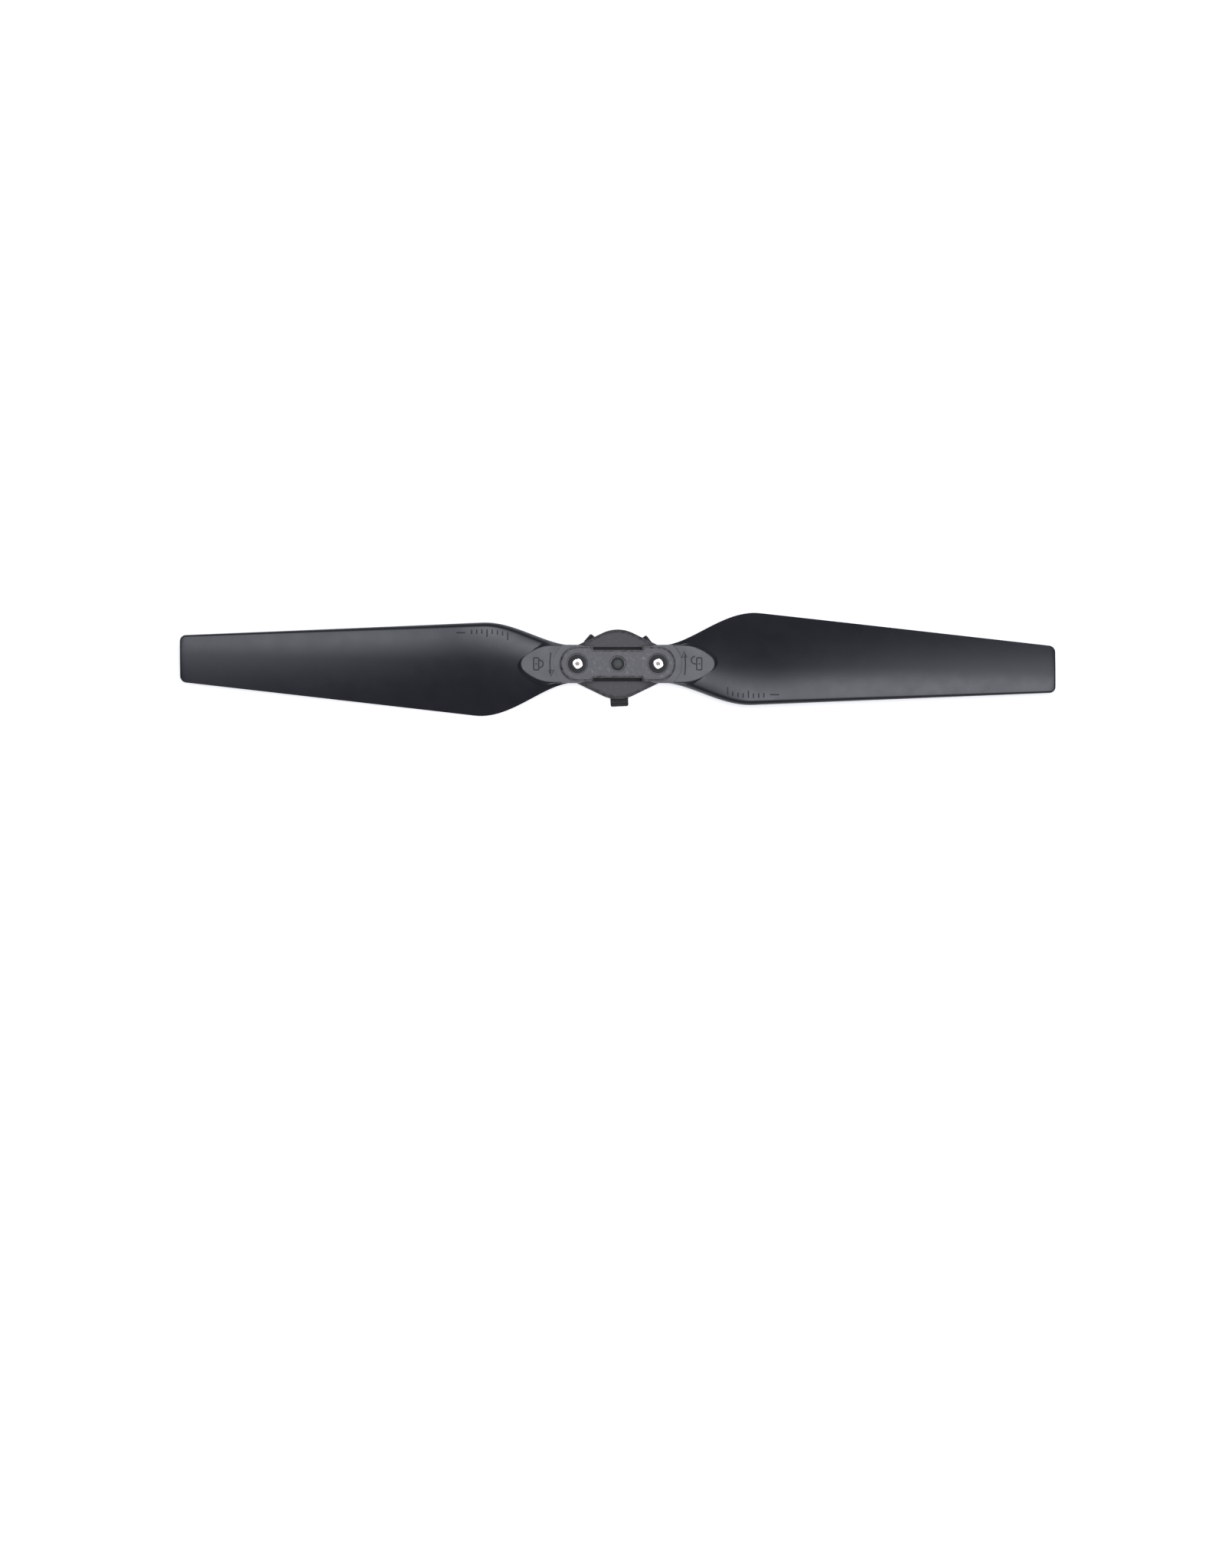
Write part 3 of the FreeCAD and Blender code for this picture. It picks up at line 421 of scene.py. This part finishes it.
def blade_skin(sizes):
    """A grid rolled round the sections, from inside the tongue to the tip, and closed at both ends."""
    columns = 2 * sizes.section_points + 2
    clear_selection()
    bpy.ops.mesh.primitive_grid_add(x_subdivisions=sizes.stations, y_subdivisions=columns, size=2)
    piece = named("blade_skin")
    bpy.ops.object.mode_set(mode="EDIT")
    mesh = bmesh.from_edit_mesh(piece.data)
    for vertex in mesh.verts:
        radius = station_radius(sizes, (vertex.co.x + 1) / 2)
        column = round((vertex.co.y + 1) / 2 * columns) % columns
        face = 1 if column <= sizes.section_points else -1
        share = ((column - sizes.section_points) / sizes.section_points) ** 2
        if column == columns - 1:
            share = 1.0
        vertex.co = section_point(sizes, radius, share, face)
    bmesh.update_edit_mesh(piece.data)
    bpy.ops.mesh.select_all(action="SELECT")
    bpy.ops.mesh.remove_doubles(threshold=SAME_PLACE)
    for radius in (sizes.start, TIP_RADIUS):
        mesh = bmesh.from_edit_mesh(piece.data)
        select_where(mesh, lambda vertex: abs(vertex.co.x - radius) < SAME_PLACE)
        bmesh.update_edit_mesh(piece.data)
        bpy.ops.mesh.edge_face_add()
    bpy.ops.mesh.select_all(action="SELECT")
    bpy.ops.mesh.normals_make_consistent(inside=False)
    bpy.ops.object.mode_set(mode="OBJECT")
    return piece


# ------------------------------------------------------------------------------------------ blade root
def arc_points(centre, radius, start, end, steps):
    """Points along an arc in the plane, without its last one."""
    return [
        centre + radius * Vector((math.cos(start + (end - start) * i / steps),
                                  math.sin(start + (end - start) * i / steps)))
        for i in range(steps)
    ]


def leaf_outline(sizes):
    """The tongue seen from above: a round eye, straight sides, two flanks and a round nose."""
    half, nose = sizes.eye_radius, sizes.nose
    side_end = PIVOT_X + sizes.side
    nose_centre = PIVOT_X + sizes.reach - nose
    run = nose_centre - side_end
    flank = (run ** 2 + half ** 2 - nose ** 2) / (2 * (half - nose))
    lean = math.asin(run / (flank - nose))
    right = math.pi / 2
    return [
        *arc_points(Vector((PIVOT_X, 0)), half, right, 3 * right, 48),
        Vector((PIVOT_X, -half)),
        *arc_points(Vector((side_end, flank - half)), flank, -right, -right + lean, 24),
        *arc_points(Vector((nose_centre, 0)), nose, -right + lean, right - lean, 24),
        *arc_points(Vector((side_end, half - flank)), flank, right - lean, right, 24),
        Vector((side_end, half)),
    ]


def pushed_out(outline, index, distance):
    """A point of a closed outline, moved outwards along the outline's normal there."""
    along = outline[(index + 1) % len(outline)] - outline[index - 1]
    return outline[index] + distance * Vector((along.y, -along.x)).normalized()


def tongue_block(sizes):
    """The leaf outline, drawn up to the pad's height, with rounded rims and sloping outer sides."""
    outline = leaf_outline(sizes)
    foot = [
        pushed_out(outline, i, sizes.skirt * smooth_share(point.x, sizes.skirt_start, sizes.skirt_end))
        for i, point in enumerate(outline)
    ]
    clear_selection()
    bpy.ops.mesh.primitive_circle_add(vertices=len(outline), radius=1, fill_type="NGON")
    piece = named("tongue_block")
    bpy.ops.object.mode_set(mode="EDIT")
    mesh = bmesh.from_edit_mesh(piece.data)
    mesh.verts.ensure_lookup_table()
    for vertex, (x, y) in zip(mesh.verts, foot):
        vertex.co = (x, y, EYE_BOTTOM)
    bmesh.update_edit_mesh(piece.data)
    slope_end = PAD_TOP - sizes.skirt_top - sizes.skirt_drop
    for low, high in ((EYE_BOTTOM, slope_end), (slope_end, PAD_TOP)):
        bpy.ops.mesh.extrude_region_move(TRANSFORM_OT_translate={"value": (0, 0, high - low)})
    mesh = bmesh.from_edit_mesh(piece.data)
    upper = [vertex for vertex in mesh.verts if abs(vertex.co.z - PAD_TOP) < SAME_PLACE]
    for vertex in upper:
        nearest = min(range(len(foot)), key=lambda i: (foot[i] - vertex.co.xy).length)
        vertex.co.xy = outline[nearest]
    bmesh.update_edit_mesh(piece.data)
    bpy.ops.mesh.select_all(action="SELECT")
    bpy.ops.mesh.normals_make_consistent(inside=False)
    for height, rounding in ((PAD_TOP, sizes.pad_edge), (EYE_BOTTOM, sizes.lower_edge)):
        mesh = bmesh.from_edit_mesh(piece.data)
        select_where(mesh, lambda vertex: abs(vertex.co.z - height) < SAME_PLACE)
        bmesh.update_edit_mesh(piece.data)
        bpy.ops.mesh.bevel(offset=rounding, segments=5)
    bpy.ops.object.mode_set(mode="OBJECT")
    return piece


def drum(name, radius, low, high):
    """A closed round block about the right-hand pivot, used for cutting."""
    clear_selection()
    bpy.ops.mesh.primitive_cylinder_add(vertices=96, radius=radius, depth=high - low,
                                        location=(PIVOT_X, 0, (low + high) / 2))
    piece = named(name)
    settle(piece)
    return piece


# ------------------------------------------------------------------------------------------ moulded marks
def bead(path, radius, closed=False):
    """A raised moulded line: a round bead along a path of at least three points, capped at its ends."""
    clear_selection()
    bpy.ops.mesh.primitive_circle_add(vertices=len(path))
    line = bpy.context.object
    bpy.ops.object.mode_set(mode="EDIT")
    mesh = bmesh.from_edit_mesh(line.data)
    mesh.verts.ensure_lookup_table()
    for vertex, place in zip(mesh.verts, path):
        vertex.co = place
    if not closed:
        ends = {mesh.verts[0], mesh.verts[len(path) - 1]}
        bmesh.ops.delete(mesh, geom=[edge for edge in mesh.edges if set(edge.verts) == ends], context="EDGES")
    bmesh.update_edit_mesh(line.data)
    bpy.ops.object.mode_set(mode="OBJECT")
    settle(line)
    bpy.ops.object.convert(target="CURVE")
    curve = bpy.context.object.data
    curve.bevel_depth = radius
    curve.bevel_resolution = 3
    curve.use_fill_caps = True
    bpy.ops.object.convert(target="MESH")
    return bpy.context.object


def join(pieces, name):
    """Several meshes as one."""
    clear_selection()
    for piece in pieces:
        piece.select_set(True)
    bpy.context.view_layer.objects.active = pieces[0]
    bpy.ops.object.join()
    return named(name)


def on_pad(points, sink):
    """Plane points lifted onto the pad, with the bead's middle sunk a little below its face."""
    return [Vector((x, y, PAD_TOP - sink)) for x, y in points]


def padlock_paths(sizes, closed):
    """A padlock lying across the pad, its shackle towards the hub: body, keyhole line and shackle."""
    half, deep, soft = sizes.lock_width / 2, sizes.lock_height, sizes.lock_corner
    inner = sizes.lock_radius - sizes.lock_inset
    outer = inner + deep
    turn = math.pi / 2
    corners = [((outer - soft, -half + soft), -turn), ((outer - soft, half - soft), 0),
               ((inner + soft, half - soft), turn), ((inner + soft, -half + soft), 2 * turn)]
    body = []
    for centre, start in corners:
        body += arc_points(Vector(centre), soft, start, start + turn, 5)
    keyhole = [Vector((inner + deep * share, 0)) for share in (0.35, 0.5, 0.65)]
    reach = sizes.shackle_share * half
    slide = 0 if closed else sizes.shackle_slide * half
    foot = inner - (sizes.shackle_closed if closed else sizes.shackle_open)
    loop = arc_points(Vector((foot, slide)), reach, turn, 3 * turn, 14) + [Vector((foot, slide - reach))]
    shackle = [Vector((inner, slide + reach)) if closed else loop[0], *loop, Vector((inner, slide - reach))]
    return [(body, True), (keyhole, False), (shackle, False)]


def arrow_paths(sizes):
    """A turning arrow: an arc about the shaft with a pointed head at its end."""
    spread = sizes.arrow_half_length / sizes.arrow_radius
    arc = arc_points(Vector((0, 0)), sizes.arrow_radius, -spread, spread, 16)
    ahead = spread * sizes.head_ahead
    tip = sizes.arrow_radius * Vector((math.cos(ahead), math.sin(ahead)))
    back = Vector((tip.x, tip.y - sizes.head_length))
    aside = Vector((sizes.head_half_width, 0))
    head = [tip, back + aside, back - aside]
    return [(arc, False), (head, True)]


def blade_top(sizes, radius, y):
    """The point of the blade's upper face that lies over a place in the plane."""
    near, far, halvings = 0.0, 1.0, 30
    for _ in range(halvings):
        middle = (near + far) / 2
        if section_point(sizes, radius, middle, 1).y < y:
            near = middle
        else:
            far = middle
    return section_point(sizes, radius, near, 1)


def ruled_mark(blade, sizes):
    """A plain ruled scale near the leading edge: long and short ticks, and a bar after them."""
    shares = [i / 4 for i in range(5)]
    paths = []
    for number in range(sizes.ruled_ticks):
        radius = sizes.ruled_start + number * sizes.ruled_gap
        foot = -edge_offset(blade, radius, "leading") + sizes.tick_inset
        tall = sizes.tick_long if number % sizes.ruled_group == 0 else sizes.tick_short
        paths.append([blade_top(blade, radius, foot + tall * share) for share in shares])
    start = sizes.ruled_start + sizes.bar_place * sizes.ruled_gap
    middle = -edge_offset(blade, start, "leading") + sizes.bar_inset
    paths.append([blade_top(blade, start + sizes.bar_length * share, middle) for share in shares])
    return paths


def marks(context, side):
    """All the moulded lines of one blade, as one piece."""
    blade, sizes = context.scene.propeller_blade, context.scene.propeller_marks
    sink, fine_bead = 0.4 * sizes.bead, 0.9 * sizes.bead
    lines = [
        bead(on_pad(path, sink), sizes.bead, closed)
        for path, closed in padlock_paths(sizes, side == "left") + arrow_paths(sizes)
    ]
    lines += [bead(path, fine_bead) for path in ruled_mark(blade, sizes)]
    piece = join(lines, f"moulded_marks_{side}")
    settle(piece)
    if side == "left":
        turn_half(piece)
    tidy_mesh(piece, angle=60)
    return piece


# ------------------------------------------------------------------------------------------ operators
class PROPELLER_OT_blades(Operator):
    """Make both blades with their flat roots"""
    bl_idname = "propeller.blades"
    bl_label = "Blades"

    def execute(self, context):
        blade = context.scene.propeller_blade
        tongue = context.scene.propeller_tongue
        root = tongue_block(tongue)
        right = blade_skin(blade)
        combine(right, root, "UNION")
        past = 1 * MM  # the cutting drums run past the eye by this, or by twice this above its step
        combine(right, drum("eye_step", tongue.step_radius, EYE_TOP, EYE_TOP + 2 * past), "DIFFERENCE")
        combine(right, drum("bush_hole", BUSH_RADIUS, EYE_BOTTOM - past, EYE_TOP + past), "DIFFERENCE")
        right.name = "blade_moulding_right"
        tidy_mesh(right)
        left = half_turned(right, "blade_moulding_left")
        for side, piece in (("right", right), ("left", left)):
            coat(piece, blade_plastic(context.scene.propeller_finishes))
            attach(piece, f"{side}_blade")
            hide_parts(f"blade_{side}")
        return {"FINISHED"}


class PROPELLER_OT_marks(Operator):
    """Make the moulded lines on the pads and the blades"""
    bl_idname = "propeller.marks"
    bl_label = "Moulded marks"

    def execute(self, context):
        for side in SIDES:
            piece = marks(context, side)
            coat(piece, blade_plastic(context.scene.propeller_finishes))
            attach(piece, f"{side}_blade")
        return {"FINISHED"}


# ------------------------------------------------------------------------------------------ materials
def new_material(name):
    """A material with an empty node tree but for a Principled shader and its output."""
    material = bpy.data.materials.new(name)
    material.use_nodes = True
    nodes = material.node_tree.nodes
    return material, nodes, material.node_tree.links, nodes["Principled BSDF"]


def grain_group():
    """Shared node group: blotches and fine grain of a moulding, as a colour, a roughness and a height."""
    if "moulded_grain" in bpy.data.node_groups:
        return bpy.data.node_groups["moulded_grain"]
    group = bpy.data.node_groups.new("moulded_grain", "ShaderNodeTree")
    sockets = group.interface
    for name, kind, value in (
            ("Color", "NodeSocketColor", (0.05, 0.05, 0.05, 1)),
            ("Blotch Scale", "NodeSocketFloat", 900.0),
            ("Grain Scale", "NodeSocketFloat", 6000.0),
            ("Contrast", "NodeSocketFloat", 0.2),
            ("Roughness", "NodeSocketFloat", 0.5),
            ("Roughness Spread", "NodeSocketFloat", 0.1)):
        sockets.new_socket(name=name, in_out="INPUT", socket_type=kind).default_value = value
    sockets.new_socket(name="Color", in_out="OUTPUT", socket_type="NodeSocketColor")
    sockets.new_socket(name="Roughness", in_out="OUTPUT", socket_type="NodeSocketFloat")
    sockets.new_socket(name="Height", in_out="OUTPUT", socket_type="NodeSocketFloat")
    nodes, links = group.nodes, group.links
    inputs, outputs = nodes.new("NodeGroupInput"), nodes.new("NodeGroupOutput")
    place = nodes.new("ShaderNodeTexCoord")

    def noise(scale_socket, detail):
        node = nodes.new("ShaderNodeTexNoise")
        node.inputs["Detail"].default_value = detail
        links.new(place.outputs["Object"], node.inputs["Vector"])
        links.new(inputs.outputs[scale_socket], node.inputs["Scale"])
        return node.outputs["Fac"]

    def maths(operation, first, second, third=None):
        node = nodes.new("ShaderNodeMath")
        node.operation = operation
        for socket, value in zip(node.inputs, (first, second, third)):
            if isinstance(value, (int, float)):
                socket.default_value = value
            elif value is not None:
                links.new(value, socket)
        return node.outputs[0]

    blotch_share, grain_share, middle, gain = 0.65, 0.35, 0.5, 4.0
    blotch, grain = noise("Blotch Scale", detail=3.0), noise("Grain Scale", detail=2.0)
    mixed = maths("ADD", maths("MULTIPLY", blotch, blotch_share), maths("MULTIPLY", grain, grain_share))
    centred = maths("SUBTRACT", mixed, middle)
    spread = maths("MULTIPLY", centred, maths("MULTIPLY", inputs.outputs["Contrast"], gain))
    bright = maths("ADD", spread, 1.0)
    shade = nodes.new("ShaderNodeVectorMath")
    shade.operation = "SCALE"
    links.new(inputs.outputs["Color"], shade.inputs[0])
    links.new(bright, shade.inputs["Scale"])
    links.new(shade.outputs[0], outputs.inputs["Color"])
    rough = maths("MULTIPLY_ADD", centred, inputs.outputs["Roughness Spread"], inputs.outputs["Roughness"])
    links.new(rough, outputs.inputs["Roughness"])
    links.new(grain, outputs.inputs["Height"])
    return group


def grained(name, base, roughness, contrast, spread, blotch, grain, bump, metallic=0.0):
    """A material that takes its colour, roughness and bump from the shared grain."""
    if name in bpy.data.materials:
        return bpy.data.materials[name]
    material, nodes, links, shader = new_material(name)
    group = nodes.new("ShaderNodeGroup")
    group.node_tree = grain_group()
    group.inputs["Color"].default_value = (*base, 1)
    for socket, value in (("Blotch Scale", blotch), ("Grain Scale", grain), ("Contrast", contrast),
                          ("Roughness", roughness), ("Roughness Spread", spread)):
        group.inputs[socket].default_value = value
    height = nodes.new("ShaderNodeBump")
    height.inputs["Strength"].default_value = bump
    height.inputs["Distance"].default_value = 0.02 * MM
    links.new(group.outputs["Color"], shader.inputs["Base Color"])
    links.new(group.outputs["Roughness"], shader.inputs["Roughness"])
    links.new(group.outputs["Height"], height.inputs["Height"])
    links.new(height.outputs["Normal"], shader.inputs["Normal"])
    shader.inputs["Metallic"].default_value = metallic
    return material


def blade_plastic(colours):
    """Satin plastic with faint clouds."""
    return grained(
        "blade_satin", colours.blade, roughness=0.44, contrast=0.12, spread=0.14,
        blotch=300.0, grain=5000.0, bump=0.25)


def hub_plastic(colours):
    """Speckled glass-filled plastic, duller low down, with painted shade darkening it there, in the slots and
    on the lugs.
    """
    if "hub_grain_and_painted_shade" in bpy.data.materials:
        return bpy.data.materials["hub_grain_and_painted_shade"]
    material = grained(
        "hub_grain_and_painted_shade", colours.hub, roughness=0.55, contrast=1.1, spread=1.0,
        blotch=1300.0, grain=3600.0, bump=0.8)
    nodes, links = material.node_tree.nodes, material.node_tree.links
    group = next(node for node in nodes if node.type == "GROUP")
    shader = nodes["Principled BSDF"]
    place = nodes.new("ShaderNodeTexCoord")
    split = nodes.new("ShaderNodeSeparateXYZ")
    links.new(place.outputs["Object"], split.inputs[0])

    def ramp(at_low, at_high):
        node = nodes.new("ShaderNodeMapRange")
        node.interpolation_type = "SMOOTHSTEP"
        links.new(split.outputs["Z"], node.inputs["Value"])
        for socket, value in (("From Min", LOW_PARTS), ("From Max", HIGH_PARTS),
                              ("To Min", at_low), ("To Max", at_high)):
            node.inputs[socket].default_value = value
        return node.outputs["Result"]

    # Painted shade: the grain's colour is scaled down low on the hub, where the slots and lugs lie.
    painted_shade = nodes.new("ShaderNodeVectorMath")
    painted_shade.operation = "SCALE"
    links.new(group.outputs["Color"], painted_shade.inputs[0])
    links.new(ramp(at_low=0.35, at_high=1.0), painted_shade.inputs["Scale"])
    links.new(painted_shade.outputs[0], shader.inputs["Base Color"])
    duller = nodes.new("ShaderNodeMath")
    duller.operation = "ADD"
    links.new(group.outputs["Roughness"], duller.inputs[0])
    links.new(ramp(at_low=0.3, at_high=0.0), duller.inputs[1])
    links.new(duller.outputs[0], shader.inputs["Roughness"])
    return material


def node_materials(colours):
    """Material of each CAD node that stays in view."""
    hub = hub_plastic(colours)
    insert = grained(
        "insert_steel", colours.insert, roughness=0.58, contrast=0.25, spread=0.3,
        blotch=2500.0, grain=9000.0, bump=0.3)
    washer = grained(
        "washer_steel", colours.washer, roughness=0.35, contrast=0.08, spread=0.2,
        blotch=1500.0, grain=8000.0, bump=0.2, metallic=1.0)
    brass = grained(
        "bush_brass", colours.bush, roughness=0.3, contrast=0.08, spread=0.2,
        blotch=1500.0, grain=8000.0, bump=0.2, metallic=1.0)
    slip = grained(
        "slip_sheet", colours.slip, roughness=0.45, contrast=0.10, spread=0.1,
        blotch=900.0, grain=6000.0, bump=0.2)
    table = {"hub_base": hub, "top_plate": hub, "shaft_insert": insert}
    for side in SIDES:
        table[f"backing_washer_{side}"] = washer
        table[f"pivot_bush_{side}"] = brass
        table[f"upper_thrust_washer_{side}"] = slip
        table[f"lower_thrust_washer_{side}"] = slip
    return table


class PROPELLER_OT_hub(Operator):
    """Give the hub, plate, insert and washers their finishes and softened edges"""
    bl_idname = "propeller.hub"
    bl_label = "Hub and small parts"

    def execute(self, context):
        weld_gap, soft_edge, sharp_from = 0.001 * MM, 0.06 * MM, math.radians(40)
        for name, material in node_materials(context.scene.propeller_finishes).items():
            piece = frame["nodes"][name]
            coat(piece, material)
            weld = piece.modifiers.new("weld", "WELD")
            weld.merge_threshold = weld_gap
            soften = piece.modifiers.new("soften", "BEVEL")
            soften.width = soft_edge
            soften.segments = 2
            soften.limit_method = "ANGLE"
            soften.angle_limit = sharp_from
        return {"FINISHED"}


def rivet_profile(sizes, bottom, top):
    """Half section of a rivet from the axis at its foot, up round the head, to the axis in its dent."""
    seat = top - sizes.head_height
    head, crown, foot, dent = sizes.head_radius, sizes.crown_radius, sizes.foot_radius, sizes.dent_radius
    foot_top = bottom + sizes.foot_height
    edge = sizes.crown_edge
    dent_floor = top - sizes.dent_depth
    return [
        (0, bottom), (foot - sizes.foot_edge, bottom), (foot, bottom + sizes.foot_edge), (foot, foot_top),
        (sizes.shank_radius, foot_top), (sizes.shank_radius, seat),
        (head - sizes.head_edge, seat), (head, seat + sizes.head_edge),
        (head - sizes.rim_lean, seat + sizes.rim_height),
        (crown + 3 * edge, top - 5 * edge), (crown + edge, top - 2.5 * edge), (crown, top - edge),
        (crown - 2 * edge, top), (dent + 1.5 * edge, top), (dent, top - 1.25 * edge),
        (0.5 * dent, dent_floor), (0, dent_floor),
    ]


def rivet_finishes(colours):
    """Polished crown and shank, near-black painted shade on the flank round the crown, and a dull beige-grey
    in its dent.
    """
    return [
        grained("polished_steel", colours.rivet, roughness=0.16, contrast=0.03, spread=0.15,
                blotch=1500.0, grain=9000.0, bump=0.1, metallic=1.0),
        grained("painted_shade_flank", colours.rivet_flank_painted_shade, roughness=0.5, contrast=0.10, spread=0.15,
                blotch=1500.0, grain=9000.0, bump=0.2),
        grained("rivet_dent_tone", colours.rivet_dent_tone, roughness=0.5, contrast=0.15, spread=0.2,
                blotch=2500.0, grain=9000.0, bump=0.2),
    ]


class PROPELLER_OT_rivets(Operator):
    """Make the two polished pivot rivets"""
    bl_idname = "propeller.rivets"
    bl_label = "Rivets"

    def execute(self, context):
        sizes = context.scene.propeller_rivet
        low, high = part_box("pivot_pin_right")
        right = spun("rivet_right", rivet_profile(sizes, low[2], high[2]), Vector((PIVOT_X, 0, 0)))
        coat(right, *rivet_finishes(context.scene.propeller_finishes))
        seat = high[2] - sizes.head_height
        flank_start = sizes.crown_radius + sizes.crown_edge / 2
        # Flank faces take the near-black painted shade, and dent faces take the dull beige-grey.
        for face in right.data.polygons:
            from_axis = math.hypot(face.center.x - PIVOT_X, face.center.y)
            if face.center.z > seat and from_axis > flank_start:
                face.material_index = 1
            elif face.center.z > seat and from_axis < sizes.dent_radius:
                face.material_index = 2
        tidy_mesh(right, angle=30)
        left = half_turned(right, "rivet_left")
        for side, piece in (("right", right), ("left", left)):
            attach(piece, "hub")
            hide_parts(f"pivot_pin_{side}")
        return {"FINISHED"}


class PROPELLER_OT_stage(Operator):
    """Set up the floor, the lights and the camera"""
    bl_idname = "propeller.stage"
    bl_label = "Stage"

    def execute(self, context):
        sizes = context.scene.propeller_stage
        clear_selection()
        bpy.ops.mesh.primitive_plane_add(size=sizes.floor_size, location=(0, 0, -sizes.floor_drop))
        floor = named("floor")
        settle(floor)
        paper = grained(
            "floor_paper", sizes.floor, roughness=0.9, contrast=0.002, spread=0.02,
            blotch=4.0, grain=60.0, bump=0.02)
        shader = paper.node_tree.nodes["Principled BSDF"]
        shader.inputs["Emission Color"].default_value = (1, 1, 1, 1)
        shader.inputs["Emission Strength"].default_value = sizes.floor_glow
        coat(floor, paper)

        bpy.ops.object.camera_add(location=(sizes.right_of_shaft, sizes.above_shaft, sizes.camera_height))
        camera = context.object
        camera.name = "camera"
        camera.data.sensor_fit = "HORIZONTAL"
        camera.data.sensor_width = SENSOR_WIDTH
        camera.data.lens = SENSOR_WIDTH * (sizes.camera_height - PLATE_TOP) / sizes.picture_width
        camera.data.clip_start = 0.01
        camera.data.clip_end = 20
        context.scene.camera = camera

        self.softbox("key_box", place=(0.08, 0.045, 1.40), target=(0, 0, 0),
                     width=0.76, depth=0.66, power=19.0)

        world = bpy.data.worlds.new("studio")
        world.use_nodes = True
        air = world.node_tree.nodes["Background"]
        air.inputs["Color"].default_value = (0.92, 0.95, 1.0, 1)
        air.inputs["Strength"].default_value = sizes.air
        context.scene.world = world
        context.scene.view_settings.view_transform = "Standard"
        return {"FINISHED"}

    @staticmethod
    def softbox(name, place, target, width, depth, power):
        """A soft rectangular light, aimed at the target; width and depth in metres, power in watts."""
        bpy.ops.object.light_add(type="AREA", location=place)
        light = bpy.context.object
        light.name = name
        light.data.shape = "RECTANGLE"
        light.data.size = width
        light.data.size_y = depth
        light.data.energy = power
        light.data.color = (0.89, 0.91, 1.0)
        aim = Vector(target) - Vector(place)
        light.rotation_euler = aim.to_track_quat("-Z", "Y").to_euler()


class PROPELLER_PT_panel(Panel):
    """Lists the propeller's operators"""
    bl_idname = "PROPELLER_PT_panel"
    bl_label = "Folding propeller"
    bl_space_type = "VIEW_3D"
    bl_region_type = "UI"
    bl_category = "Propeller"

    def draw(self, context):
        for operator in OPERATORS:
            self.layout.operator(operator.bl_idname)


OPERATORS = (
    PROPELLER_OT_blades, PROPELLER_OT_marks, PROPELLER_OT_rivets, PROPELLER_OT_hub, PROPELLER_OT_stage,
)
CLASSES = (*GROUPS.values(), *OPERATORS, PROPELLER_PT_panel)


def register():
    for item in CLASSES:
        bpy.utils.register_class(item)
    for name, group in GROUPS.items():
        setattr(bpy.types.Scene, name, PointerProperty(type=group))


def unregister():
    for name in GROUPS:
        delattr(bpy.types.Scene, name)
    for item in reversed(CLASSES):
        bpy.utils.unregister_class(item)


def main():
    register()
    bpy.ops.propeller.blades()
    bpy.ops.propeller.marks()
    bpy.ops.propeller.rivets()
    bpy.ops.propeller.hub()
    bpy.ops.propeller.stage()


if __name__ == "__main__":
    main()
